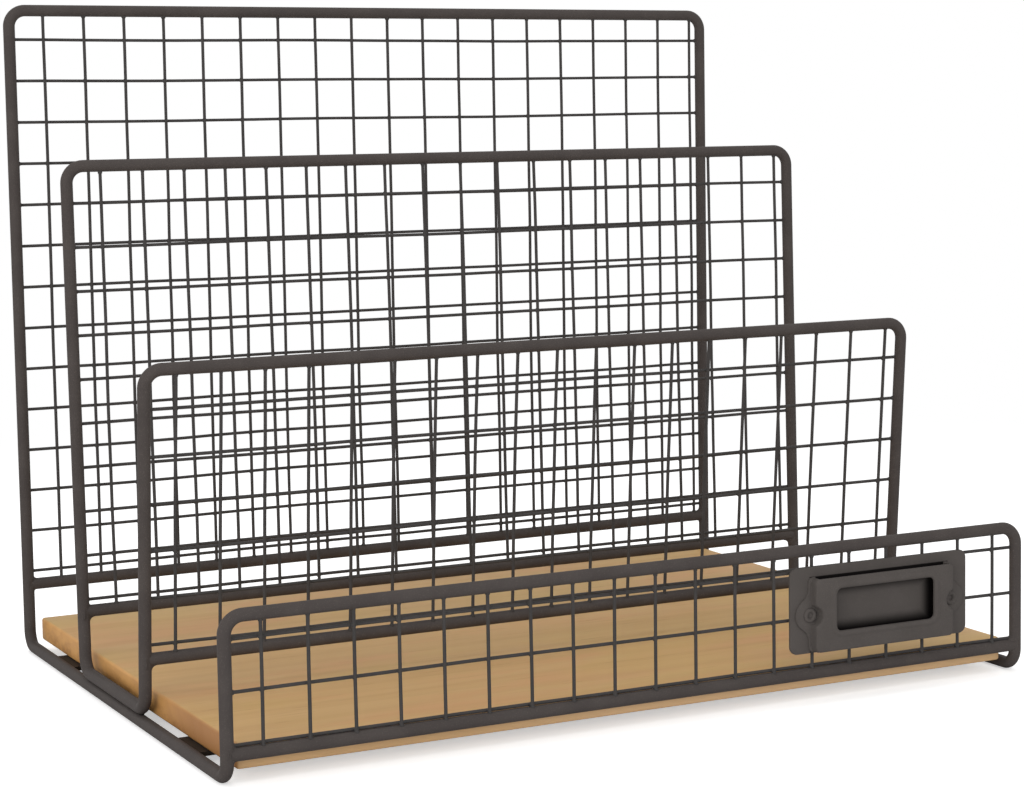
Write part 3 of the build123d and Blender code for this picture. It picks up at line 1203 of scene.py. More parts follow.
@dataclass
class FrameWires:
    """The two bent frame wires and the four bottom bars.

    Attributes:
        finish: Material of the wires.
        bend_radius: Radius of every bend.
        bend_steps: Rings in a bend.
        sides: Sides of the wire.
        bar_sink: How deep a bar's ends reach into the uprights' middle, as a share of the radius.
    """

    finish: Material
    bend_radius: float = 6.2 * MM
    bend_steps: int = 12
    sides: int = 32
    bar_sink: float = 0.4

    def build(self) -> list[Object]:
        """Builds and dresses the six wires, and gives their pieces."""
        tree = wire_tree()
        return [self._loop(tree, loop) for loop in Loop] + [self._bar(tree, panel) for panel in PANELS]

    def _wire(self, tree: GeometryTree, node: str, path: Sequence[Vector], edges: Sequence[Sequence[int]],
              radius: float) -> Object:
        """Sweeps and dresses one wire.

        Args:
            tree: Tree of a bent wire.
            node: CAD node that it stands for.
            path: Corners of its path.
            edges: Pairs of corners that it joins.
            radius: Radius of the wire.

        Returns:
            The finished piece.
        """
        piece = tree.run(new_object(f"{node}_wire", path, edges=edges), self.finish,
                         bend_radius=self.bend_radius, bend_steps=self.bend_steps, wire_radius=radius,
                         wire_sides=self.sides)
        return hand_over(piece, Slot.FRAME, node)

    def _loop(self, tree: GeometryTree, loop: Loop) -> Object:
        """Builds one closed frame wire.

        Args:
            tree: Tree of a bent wire.
            loop: Which wire it is.

        Returns:
            The finished piece.
        """
        rear, front = [panel for panel in PANELS if panel.loop is loop]
        x = rear.rail_x
        path = [rear.at(-x, rear.top), rear.at(x, rear.top), rear.at(x, rear.foot),
                front.at(x, front.foot), front.at(x, front.top), front.at(-x, front.top),
                front.at(-x, front.foot), rear.at(-x, rear.foot)]
        ring = [(n, (n + 1) % len(path)) for n in range(len(path))]
        return self._wire(tree, loop.value, path, ring, rear.wire_radius)

    def _bar(self, tree: GeometryTree, panel: Panel) -> Object:
        """Builds one bottom bar, its ends welded into the uprights.

        Args:
            tree: Tree of a bent wire.
            panel: Panel that it belongs to.

        Returns:
            The finished piece.
        """
        end = panel.rail_x - self.bar_sink * panel.wire_radius
        path = [panel.at(-end, 0.0), panel.at(end, 0.0)]
        return self._wire(tree, panel.bar_node, path, [(0, 1)], panel.wire_radius)


@dataclass
class FrameWelds:
    """Weld fillets at the bars' ends, and weld beads along the rails.

    Attributes:
        finish: Material of the welds.
        fillet: Radius of the fillets under the bars of the inner frame wire.
        tack: Radius of the smaller ones.
        tack_above: Radius of the fillets over the bars of the outer frame wire.
        film: Thickness of a weld where it runs out.
        fall_off: How fast a fillet runs out round the bar.
        lumps: Strength of the two kinds of lumps on a fillet.
        sink: How deep a fillet reaches into the wires, in wire radii.
        bead_length: Length of a bead.
        bead_radius: Radius of a bead.
        bead_steps: Rings along a bead.
        bead_sides: Sides of a bead.
        ripples: Ripples along a bead.
        ripple_depth: Depth of the ripples, as a share of the bead's radius.
        run_welds: Places of the beads between the inner wire and the rails, as shares of the run.
        run_inset: From the rail's middle in to those beads, in wire radii.
        tab_inset: From the rail's middle in to the beads at the tabs, in wire radii.
        tab_drop: From a tab's underside down to its bead, in wire radii.
        end_jitter: How far the sizes of the fillets vary.
        bead_jitter: How far the sizes of the beads vary.
        sides: Columns round a fillet.
        steps: Steps across a fillet.
        seed: Seed of the welds' lumps and sizes.
    """

    finish: Material
    fillet: float = 2.1 * MM
    tack: float = 0.8 * MM
    tack_above: float = 1.36 * MM
    film: float = 0.03 * MM
    fall_off: float = 1.6
    lumps: Flat = (0.07, 0.05)
    sink: float = 0.25
    bead_length: float = 11 * MM
    bead_radius: float = 0.85 * MM
    bead_steps: int = 40
    bead_sides: int = 12
    ripples: int = 9
    ripple_depth: float = 0.09
    run_welds: Flat = (0.16, 0.84)
    run_inset: float = 0.55
    tab_inset: float = 1.1
    tab_drop: float = 0.1
    end_jitter: float = 0.06
    bead_jitter: float = 0.08
    sides: int = 28
    steps: int = 7
    seed: int = 5

    def build(self) -> list[Object]:
        """Builds and dresses the welds.

        Returns:
            The three pieces.
        """
        radius = PANELS[0].wire_radius
        heavy = self._collar(radius, self.tack, self.fillet)
        light = self._collar(radius, self.tack_above, self.tack)
        made = []
        for name, skin, places, jitter in (
                ("bar_end_welds", heavy, self._ends(Loop.INNER), self.end_jitter),
                ("bar_end_tacks", light, self._ends(Loop.OUTER), self.end_jitter),
                ("rail_welds", self._bead(), self._bead_places(), self.bead_jitter)):
            piece = set_copies(name, skin, places, self.finish, jitter, self.seed)
            piece.data.shade_smooth()
            made.append(hand_over(piece, Slot.FRAME))
        return made

    def _ends(self, loop: Loop) -> list[Place]:
        """Gives the places and turns of the welds at the ends of one frame wire's bars."""
        return [(panel.at(side.value * panel.rail_x, 0.0), self._end_turn(panel, side))
                for panel in PANELS if panel.loop is loop for side in Side]

    @staticmethod
    def _end_turn(panel: Panel, side: Side) -> Euler:
        """Gives the turn that takes X along a bar, away from its upright, and Y up the panel."""
        along = Vector((-side.value, 0.0, 0.0))
        return Matrix((along, panel.up, along.cross(panel.up))).transposed().to_euler("XYZ")

    def _collar(self, radius: float, above: float, below: float) -> Skin:
        """Makes a weld between a bar along X and an upright along Y that meet at the origin.

        Args:
            radius: Radius of both wires.
            above: Radius of its fillet above the bar.
            below: Radius of its fillet under the bar.

        Returns:
            The points and the faces.
        """
        rng = random.Random(self.seed)
        sink = self.sink * radius
        phase = [rng.uniform(0.0, math.tau) for _ in range(2)]
        columns = []
        for angle in turn_angles(self.sides):
            lump = 1.0 + sum(height * math.sin(waves * angle + start)
                             for waves, height, start in zip((2, 3), self.lumps, phase))
            fillet = above if math.cos(angle) > 0.0 else below
            size = fillet * lump * abs(math.cos(angle)) ** self.fall_off + self.film
            outer = radius + size
            start = math.sqrt(max(radius ** 2 - (outer * math.sin(angle)) ** 2, 0.0))
            profile = [(start - sink, radius - sink), (start - sink, outer)]
            for step in range(self.steps + 1):
                share = math.pi / 2 * step / self.steps
                profile.append((start + size * (1 - math.cos(share)), radius + size * (1 - math.sin(share))))
            profile.append((start + size, radius - sink))
            columns.append([(x, r * math.cos(angle), r * math.sin(angle)) for x, r in profile])
        return ring_mesh(list(zip(*columns)), closed=True)

    def _bead(self) -> Skin:
        """Makes a rippled weld bead along X.

        Returns:
            The points and the faces.
        """
        rings = []
        for step in range(self.bead_steps + 1):
            share = step / self.bead_steps
            taper = max(1.0 - (2 * share - 1) ** 6, 0.02) ** 0.5
            ripple = 1.0 + self.ripple_depth * math.sin(share * self.ripples * math.tau)
            size = self.bead_radius * taper * ripple
            x = (share - 0.5) * self.bead_length
            rings.append([(x, y, z) for y, z, _ in round_ring(size, 0.0, self.bead_sides)])
        return ring_mesh(rings)

    def _bead_places(self) -> list[Place]:
        """Gives the places and turns of the beads, inside both rails.

        Returns:
            One place and turn for each bead.
        """
        second, third = PANELS[1], PANELS[2]
        radius, x = second.wire_radius, second.rail_x
        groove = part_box(Loop.OUTER.value)[0].z + 2 * radius
        back, front = second.at(0.0, second.foot).y, third.at(0.0, third.foot).y
        turn = Euler((0.0, 0.0, math.pi / 2))
        places = []
        for side in Side:
            for share in self.run_welds:
                y = front + (back - front) * share
                places.append((Vector((side.value * (x - self.run_inset * radius), y, groove)), turn))
            for row in TAB_ROWS:
                low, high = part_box(tab_node(row, side))
                y, z = (low.y + high.y) / 2, low.z - self.tab_drop * radius
                places.append((Vector((side.value * (x - self.tab_inset * radius), y, z)), turn))
        return places


def tab_node(row: str, side: Side) -> str:
    """Gives the name of a tab's CAD node."""
    return f"{row}_{side.name.lower()}_tab"


@dataclass
class PanelMesh:
    """The welded wire mesh of the four panels.

    Attributes:
        finish: Material of the mesh.
        wire_radius: Radius of the mesh wire with its coat.
        wire_sides: Sides of the wire.
        step: Length of the steps along a wire.
        sway: How far a wire strays from its line.
        sway_scale: How often it strays.
        nub_radius: Radius of a weld nub where two wires cross.
        nub_jitter: How far the sizes of the nubs vary.
        nub_lift: From the panel's middle forward to the nubs, in mesh wire radii.
        end_nub: Size of the nubs at the wires' ends, as a share of the others.
        end_reach: From the frame wire's middle to those nubs, in its radii.
        set_off: From the panel's middle to the wires on either side, in mesh wire radii.
        seed: Seed of the first panel.
    """

    finish: Material
    wire_radius: float = 0.6 * MM
    wire_sides: int = 10
    step: float = 6 * MM
    sway: float = 0.33 * MM
    sway_scale: float = 13.0
    nub_radius: float = 0.9 * MM
    nub_jitter: float = 0.14
    nub_lift: float = 0.3
    end_nub: float = 0.92
    end_reach: float = 0.93
    set_off: float = 0.97
    seed: int = 11

    def build(self) -> list[Object]:
        """Builds and dresses the mesh of each panel, and gives the four pieces."""
        tree = panel_tree()
        return [self._panel(tree, panel, self.seed + number) for number, panel in enumerate(PANELS)]

    def _panel(self, tree: GeometryTree, panel: Panel, seed: int) -> Object:
        """Builds the mesh of one panel.

        Args:
            tree: Tree of a welded panel.
            panel: The panel.
            seed: Seed of its sway and nubs.

        Returns:
            The finished piece.
        """
        across, up = panel.upright_places(), panel.cross_places()
        side, top = panel.rail_x, panel.top
        set_off, near = self.set_off * self.wire_radius, self.end_reach * panel.wire_radius
        lines = [(panel.at(x, 0.0, set_off), panel.at(x, top, set_off)) for x in across]
        lines += [(panel.at(-side, y, -set_off), panel.at(side, y, -set_off)) for y in up]
        edges = [(2 * n, 2 * n + 1) for n in range(len(lines))]
        crossings = [panel.at(x, y, self.nub_lift * self.wire_radius) for x in across for y in up]
        ends = [panel.at(x, y, set_off) for x in across for y in (near, top - near)]
        ends += [panel.at(x, y, -set_off) for x in (near - side, side - near) for y in up]
        points = [p for line in lines for p in line]
        welds = [0.0] * len(points) + [1.0] * len(crossings) + [self.end_nub] * len(ends)
        host = new_object(panel.node("mesh"), points + crossings + ends, edges=edges)
        point_values(host, WELD_ATTRIBUTE, "FLOAT", welds)
        piece = tree.run(host, self.finish, step=self.step, wire_radius=self.wire_radius,
                         wire_sides=self.wire_sides, sway=self.sway, sway_scale=self.sway_scale,
                         sway_seed=float(seed), nub_radius=self.nub_radius, nub_jitter=self.nub_jitter,
                         nub_seed=seed)
        return hand_over(piece, Slot.MESH, panel.node("mesh_uprights"), panel.node("mesh_crosswires"))


@dataclass
class BaseBoard:
    """The wooden board, with eased edges.

    Attributes:
        finish: Material of the wood.
        end_mask: Attribute that marks the end grain.
        side_mask: Attribute that marks the long sides.
        edge: Width of the eased edges.
        edge_steps: Steps across an edge.
        wear: How unevenly the edges are eased.
        cells: Cells of its mesh along X and Y.
        crease_deg: Turn from which an edge is sharp.
        mask_from: Share of a point's facing from which a mark starts.
        mask_over: How much more of it makes the mark full.
        node: CAD node that it stands for.
        seed: Seed of the wear.
    """

    finish: Material
    end_mask: str
    side_mask: str
    edge: float = 1.1 * MM
    edge_steps: int = 5
    wear: float = 0.12 * MM
    cells: tuple[int, int] = (44, 34)
    crease_deg: float = 50.0
    mask_from: float = 0.35
    mask_over: float = 0.5
    node: str = "base_board"
    seed: int = 3

    def build(self) -> Object:
        """Builds and dresses the board.

        Returns:
            The finished piece.
        """
        low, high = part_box(self.node)
        middle, size = (low + high) / 2, high - low
        work = bmesh.new()
        bmesh.ops.create_cube(work, size=1.0)
        grow = Matrix.Translation(middle) @ Matrix.Diagonal((*size, 1.0))
        bmesh.ops.transform(work, matrix=grow, verts=work.verts)
        bmesh.ops.bevel(work, geom=work.edges[:], offset=self.edge, segments=self.edge_steps, profile=0.5,
                        affect="EDGES")
        for axis, count in enumerate(self.cells):
            for number in range(1, count):
                normal, point = Vector((0.0, 0.0, 0.0)), middle.copy()
                normal[axis] = 1.0
                point[axis] = low[axis] + self.edge + (size[axis] - 2 * self.edge) * number / count
                bmesh.ops.bisect_plane(work, geom=work.verts[:] + work.edges[:] + work.faces[:],
                                       plane_co=point, plane_no=normal)
        self._wear_edges(work, middle, size)
        made = new_object("board", [])
        work.to_mesh(made.data)
        work.free()
        outward(made.data)
        crease(made.data, self.crease_deg)
        dress(made.data, self.finish)
        for axis, name in enumerate((self.end_mask, self.side_mask)):
            facing = [abs(normal.vector[axis]) for normal in made.data.vertex_normals]
            marks = [min(max((share - self.mask_from) / self.mask_over, 0.0), 1.0) for share in facing]
            point_values(made, name, "FLOAT", marks)
        return hand_over(made, Slot.BOARD, self.node)

    def _wear_edges(self, work: bmesh.types.BMesh, middle: Vector, size: Vector) -> None:
        """Moves the points of the eased edges in by a little, unevenly.

        Args:
            work: The board's mesh.
            middle: Its middle.
            size: Its size.
        """
        rng = random.Random(self.seed)
        waves = [(rng.uniform(30, 260), rng.uniform(0, math.tau), rng.uniform(0.3, 1.0)) for _ in range(6)]
        for vert in work.verts:
            way = vert.co - middle
            near = [axis for axis in range(3) if size[axis] / 2 - abs(way[axis]) < self.edge * 1.01]
            if len(near) < 2:
                continue
            swing = sum(w * math.sin(f * sum(way) + p) for f, p, w in waves) / len(waves)
            for axis in near:
                vert.co[axis] -= math.copysign(self.wear * (0.5 + 0.5 * swing), way[axis])


@dataclass
class BoardFixings:
    """The four tabs that carry the board, and the screws that hold it.

    Attributes:
        tab_finish: Material of the tabs, the coat darkened and browned as painted shade.
        screw_finish: Material of the screws.
        head: Diameter of a screw's head.
        head_edge: Height of the head's rim.
        shank: Diameter of its shank.
        length: Length of a screw.
        thread: Depth of its thread.
        turns: Turns of its thread.
        taper: Share of the thread before it runs to a point.
        tip: Width of the point, as a share of the shank's.
        recess: Span of the cross recess.
        recess_width: Width of its arms.
        recess_depth: Depth of the recess.
        sides: Sides of a screw.
        crease_deg: Turn from which an edge is sharp.
        node: CAD node of the screws.
        seed: Seed of the screws' turns.
    """

    tab_finish: Material
    screw_finish: Material
    head: float = 5.4 * MM
    head_edge: float = 0.1 * MM
    shank: float = 2.6 * MM
    length: float = 8 * MM
    thread: float = 0.35 * MM
    turns: int = 5
    taper: float = 0.7
    tip: float = 0.04
    recess: float = 3.1 * MM
    recess_width: float = 0.75 * MM
    recess_depth: float = 1.0 * MM
    sides: int = 32
    crease_deg: float = 35.0
    node: str = "board_screws"
    seed: int = 23

    def build(self) -> list[Object]:
        """Dresses the tabs, and builds and dresses the screws.

        Returns:
            The tabs and the piece of the screws.
        """
        tabs = [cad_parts[tab_node(row, side)] for row in TAB_ROWS for side in Side]
        # The tabs' coat is darkened and browned as painted shade under the board.
        for tab in tabs:
            dress(tab.data, self.tab_finish)
            LOG.info("%s: dressed", tab.name)
        low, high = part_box(self.node)
        rng = random.Random(self.seed)
        inset = self.head / 2
        places = [(Vector((x, y, low.z)), Euler((0.0, 0.0, rng.uniform(0.0, math.pi / 2))))
                  for x in (low.x + inset, high.x - inset) for y in (low.y + inset, high.y - inset)]
        screws = set_copies("wood_screws", self._screw(), places, self.screw_finish)
        crease(screws.data, self.crease_deg)
        return tabs + [hand_over(screws, Slot.SCREW, self.node)]

    def _cross_ring(self, shrink: float, height: float) -> list[Point]:
        """Gives a ring on the outline of the cross recess.

        Args:
            shrink: Span of the cross, as a share of the recess.
            height: Height of the ring.

        Returns:
            The ring's points.
        """
        arm, half = self.recess_width / 2, self.recess / 2 * shrink
        ring = []
        for angle in turn_angles(self.sides):
            c, s = (max(abs(part), 1e-6) for part in (math.cos(angle), math.sin(angle)))
            reach = max(min(half / c, arm / s), min(half / s, arm / c))
            ring.append((reach * math.cos(angle), reach * math.sin(angle), height))
        return ring

    def _screw(self) -> Skin:
        """Makes a countersunk screw, head down at the origin, with a tapered cross recess and a thread.

        Returns:
            The points and the faces.
        """
        head, shank, edge = self.head / 2, self.shank / 2, self.head_edge
        neck = head - shank + edge
        rings = [self._cross_ring(0.55, self.recess_depth), self._cross_ring(1.0, 0.4 * edge),
                 self._cross_ring(1.06, 0.0)]
        rounds = [(head - 1.2 * edge, 0.0), (head, edge), (shank, neck)]
        start, steps = neck + 5 * edge, 4 * self.turns
        for step in range(steps + 1):
            share = step / steps
            point = max(self.tip, min(1.0, (1.0 - share) / (1.0 - self.taper)))
            crest = self.thread if step % 4 == 2 else 0.0
            rounds.append(((shank - self.thread + crest) * point, start + (self.length - start) * share))
        return ring_mesh(rings + [round_ring(radius, z, self.sides) for radius, z in rounds])


@dataclass
class LabelHolder:
    """The label holder: a plate on the mesh, a stamped frame with a window, and two rivets.

    Attributes:
        coat: Finish of the holder.
        corner: Corner radius of the plate.
        edge: Rounding of the plate's edges.
        sheet: Thickness of the stamped sheet.
        rise: Height of the pocket over the plate.
        pocket: Width and height of the pocket.
        pocket_foot: From the plate's lower edge to the pocket.
        flange: Width of the flange at the pocket's sides.
        window: Width and height of the window.
        window_corner: Corner radius of the window and the pocket.
        least_corner: Least radius of any corner of the frame.
        window_drop: From the plate's middle down to the window's.
        bead: Width of the bead round the window.
        bead_rise: Height of the bead.
        ear: Radius of the riveted ears.
        ear_blend: Width of the change from the flange to an ear.
        scallop: Radius of the pocket's hollows round the rivets.
        scallop_blend: Width of the change from the pocket to a hollow.
        rivet_inset: From the plate's end to a rivet.
        rivet_head: Diameter of a rivet's head.
        rivet_roll: Height of a rivet's rolled rim.
        scoop: How far the mouth's edge dips in its middle.
        mouth_inset: From each side of the pocket to its mouth.
        mouth_depth: From the pocket's top down to the foot of the mouth.
        mouth_over: How far the mouth's cutters reach over the pocket's top.
        around: Points round the frame.
        halvings: Steps in the search for an outline.
        rivet_sides: Sides of a rivet.
        crease_deg: Turn from which an edge of the plate or a rivet is sharp.
        frame_crease_deg: Turn from which an edge of the frame is sharp.
        finish: Material of the frame and the rivets.
        low: Least corner of the plate.
        high: Greatest corner of the plate.
    """

    coat: PowderCoat
    corner: float = 3 * MM
    edge: float = 0.3 * MM
    sheet: float = 0.8 * MM
    rise: float = 4.3 * MM
    pocket: Flat = (58.6 * MM, 26.6 * MM)
    pocket_foot: float = 0.4 * MM
    flange: float = 0.9 * MM
    window: Flat = (41.4 * MM, 15.1 * MM)
    window_corner: float = 2 * MM
    least_corner: float = 0.3 * MM
    window_drop: float = 0.1 * MM
    bead: float = 2.4 * MM
    bead_rise: float = 0.4 * MM
    ear: float = 5.7 * MM
    ear_blend: float = 3.6 * MM
    scallop: float = 3.4 * MM
    scallop_blend: float = 0.7 * MM
    rivet_inset: float = 7.6 * MM
    rivet_head: float = 5.2 * MM
    rivet_roll: float = 0.8 * MM
    scoop: float = 0.25 * MM
    mouth_inset: float = 1.9 * MM
    mouth_depth: float = 3 * MM
    mouth_over: float = 2 * MM
    around: int = 256
    halvings: int = 34
    rivet_sides: int = 32
    crease_deg: float = 40.0
    frame_crease_deg: float = 38.0
    finish: Material = field(init=False)
    low: Vector = field(init=False)
    high: Vector = field(init=False)

    def __post_init__(self) -> None:
        """Makes the holder's material, and reads the plate's place from the frame."""
        self.finish = self.coat.material()
        self.low, self.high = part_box("label_plate")

    @property
    def half_plate(self) -> Flat:
        """Half the plate's width and height."""
        return (self.high.x - self.low.x) / 2, (self.high.z - self.low.z) / 2

    @property
    def half_pocket(self) -> Flat:
        """Half the pocket's width and height."""
        return self.pocket[0] / 2, self.pocket[1] / 2

    @property
    def half_window(self) -> Flat:
        """Half the window's width and height."""
        return self.window[0] / 2, self.window[1] / 2

    @property
    def pocket_middle(self) -> float:
        """Middle of the pocket over the plate's middle."""
        return self.pocket_foot + self.half_pocket[1] - self.half_plate[1]

    @property
    def rivet_place(self) -> float:
        """Distance of a rivet from the plate's middle."""
        return self.half_plate[0] - self.rivet_inset

    def at(self, across: float, up: float, front: float) -> Point:
        """Gives a point of the holder.

        Args:
            across: To the right of the plate's middle.
            up: Above its middle.
            front: Ahead of its face.

        Returns:
            The point in the part's frame.
        """
        middle = (self.low + self.high) / 2
        return (middle.x + across, self.low.y - front, middle.z + up)

    def build(self) -> list[Object]:
        """Builds and dresses the plate, the frame and the rivets, and gives the three pieces."""
        return [self._plate(), self._frame(), self._rivets()]

    def _plate(self) -> Object:
        """Builds the plate, with rounded corners and edges.

        Returns:
            The finished piece.
        """
        back, edge = self.low.y - self.high.y, self.edge
        half_x, half_z = self.half_plate
        rings = []
        for inset, front in ((0.5, back), (0.15, back + 0.15 * edge), (0.0, back + 0.5 * edge),
                             (0.0, -0.9 * edge), (0.12, -0.45 * edge), (0.45, -0.12 * edge), (1.0, 0.0)):
            step = inset * edge
            outline = rounded_rectangle(half_x - step, half_z - step, self.corner - step, 10)
            rings.append([self.at(u, v, front) for u, v in outline])
        made = new_object("label_back_plate", *ring_mesh(rings))
        # Painted shade on the plate's coat, under the pocket's sheet and round the window.
        hollow = PaintedPocketShade(self.at(0.0, -self.window_drop, 0.0), self.half_window, self.half_pocket,
                        self.pocket_middle + self.window_drop)
        dress(made.data, replace(self.coat, name=f"{self.coat.name}_plate", hollow=hollow).material())
        outward(made.data)
        crease(made.data, self.crease_deg)
        return hand_over(made, Slot.LABEL, "label_plate")

    def _distance(self, contour: Contour, inset: float) -> Callable[[float, float], float]:
        """Gives the distance function of one of the frame's outlines.

        Args:
            contour: Which outline.
            inset: How far inside of it.

        Returns:
            A function of a place about the pocket's middle, negative inside the outline.
        """
        inner = contour in (Contour.BEAD, Contour.WINDOW)
        half = self.half_window if inner else self.half_pocket
        grow = {Contour.FLANGE: (self.flange, 0.0), Contour.CAVITY: (-self.sheet, -self.sheet),
                Contour.BEAD: (self.bead, self.bead)}.get(contour, (0.0, 0.0))
        lift = -self.window_drop - self.pocket_middle if inner else 0.0
        corner = self.window_corner + (self.bead if contour is Contour.BEAD else 0.0)
        corner = max(corner - inset, self.least_corner)
        size = (half[0] + grow[0] - inset - corner, half[1] + grow[1] - inset - corner)
        hollow = self.scallop + inset + (self.sheet if contour is Contour.CAVITY else 0.0)

        def distance(x: float, y: float) -> float:
            """Gives the distance to the outline.

            Args:
                x: To the right of the pocket's middle.
                y: Above it.

            Returns:
                The distance, negative inside.
            """
            qx, qy = abs(x) - size[0], abs(y - lift) - size[1]
            box = math.hypot(max(qx, 0.0), max(qy, 0.0)) + min(max(qx, qy), 0.0) - corner
            if inner:
                return box
            rivet = math.hypot(abs(x) - self.rivet_place, y)
            if contour is Contour.FLANGE:
                return soft_least(box, rivet - self.ear + inset, self.ear_blend)
            return -soft_least(-box, rivet - hollow, self.scallop_blend)

        return distance

    def _ring(self, contour: Contour, inset: float, angles: Sequence[float]) -> list[float]:
        """Gives an outline as a reach from the pocket's middle at each angle.

        Args:
            contour: Which outline.
            inset: How far inside of it.
            angles: The angles.

        Returns:
            The reach at each angle.
        """
        distance = self._distance(contour, inset)
        reaches = []
        for angle in angles:
            c, s = math.cos(angle), math.sin(angle)
            near, far = 0.0, self.pocket[0]
            for _ in range(self.halvings):
                half = (near + far) / 2
                near, far = (half, far) if distance(half * c, half * s) < 0.0 else (near, half)
            reaches.append(near)
        return reaches

    def _section(self) -> list[tuple[Contour, float, float]]:
        """Gives the frame's section from its rim over the front and through the window to its back.

        Returns:
            Outline, millimetres inside of it, and height over the plate, of each ring.
        """
        top, sheet, bead = self.rise, self.sheet, self.bead_rise
        flange = ((0.0, 0.0), (0.0, 0.55 * sheet), (0.12, 0.88 * sheet), (0.3, sheet))
        pocket = ((-0.42, sheet * 1.001), (-0.12, 1.15 * sheet), (0.0, 1.5 * sheet), (0.06, top - 0.9 * MM),
                  (0.22, top - 0.42 * MM), (0.5, top - 0.12 * MM), (0.95, top))
        rim = ((-0.15, top), (0.25, top + 0.07 * MM), (0.65, top + 0.3 * MM), (1.1, top + bead),
               (1.6, top + 0.97 * bead))
        window = ((-0.4, top + 0.6 * bead), (-0.1, top), (0.0, top - 0.3 * MM), (0.0, top - 0.9 * sheet),
                  (-0.12, top - sheet))
        cavity = ((0.0, top - sheet), (0.0, 0.0))
        rows = ((Contour.FLANGE, flange), (Contour.POCKET, pocket), (Contour.BEAD, rim),
                (Contour.WINDOW, window), (Contour.CAVITY, cavity))
        return [(contour, inset, height) for contour, steps in rows for inset, height in steps]

    def _frame(self) -> Object:
        """Builds the stamped frame as one skin over rings, with its mouth cut open at the top.

        Returns:
            The finished piece.
        """
        outline = rounded_rectangle(*self.half_pocket, self.window_corner, 8)
        angles = even_angles(outline, self.around)
        rings, last = [], None
        for contour, inset, height in self._section():
            reach = self._ring(contour, inset * MM, angles)
            if last is not None and contour is not Contour.CAVITY:
                reach = [min(new, old) for new, old in zip(reach, last)]
            last = reach
            rings.append([self.at(r * math.cos(a), self.pocket_middle + r * math.sin(a), height)
                          for r, a in zip(reach, angles)])
        made = new_object("label_stamped_frame", *ring_mesh(rings, closed=True))
        outward(made.data)
        self._open_mouth(made)
        dress(made.data, self.finish)
        crease(made.data, self.frame_crease_deg)
        return hand_over(made, Slot.LABEL, "label_frame")

    def _open_mouth(self, made: Object) -> None:
        """Cuts the slot in the pocket's top where a card goes in.

        Args:
            made: The stamped frame, still closed at its top.
        """
        half = self.half_pocket[0] - self.mouth_inset
        top = self.pocket_middle + self.half_pocket[1]
        foot, over = top - self.mouth_depth, top + self.mouth_over
        slot = [(-half, foot), (half, foot), (half, over), (-half, over)]
        dip = [(half * u, top - self.scoop * (1 - u * u) ** 0.7) for u in (n / 12 - 1 for n in range(25))]
        dip += [(half, over), (-half, over)]
        for outline, low, high in ((slot, -self.sheet, self.rise - self.sheet),
                                   (dip, self.rise - 1.2 * self.sheet, self.rise + self.sheet)):
            rings = [[self.at(u, v, w) for u, v in outline] for w in (low, high)]
            cutter = new_object("label_mouth_part", *ring_mesh(rings))
            outward(cutter.data)
            cut = made.modifiers.new("mouth", "BOOLEAN")
            cut.operation, cut.object, cut.solver = "DIFFERENCE", cutter, "EXACT"
            make_plain(made)
            bpy.data.objects.remove(cutter)

    def _rivets(self) -> Object:
        """Builds the two tubular rivets, each rolled over round its bore.

        Returns:
            The finished piece.
        """
        radius, roll = self.rivet_head / 2, self.rivet_roll
        profile = [(0.5 * radius, -self.sheet), (0.5 * radius, 0.02 * MM)]
        profile += [(share * radius, level * roll) for share, level in (
            (0.93, 0.02), (1.0, 0.2), (0.99, 0.45), (0.93, 0.72), (0.83, 0.92), (0.7, 1.0), (0.57, 0.94),
            (0.46, 0.74), (0.38, 0.42), (0.33, 0.0), (0.3, -0.5), (0.05, -0.6))]
        skin = ring_mesh([round_ring(r, z, self.rivet_sides) for r, z in profile])
        turn = Euler((math.pi / 2, 0.0, 0.0))
        places = [(Vector(self.at(side.value * self.rivet_place, self.pocket_middle, self.sheet)), turn)
                  for side in Side]
        made = set_copies("label_rivet_heads", skin, places, self.finish)
        crease(made.data, self.crease_deg)
        return hand_over(made, Slot.LABEL, "label_rivets")


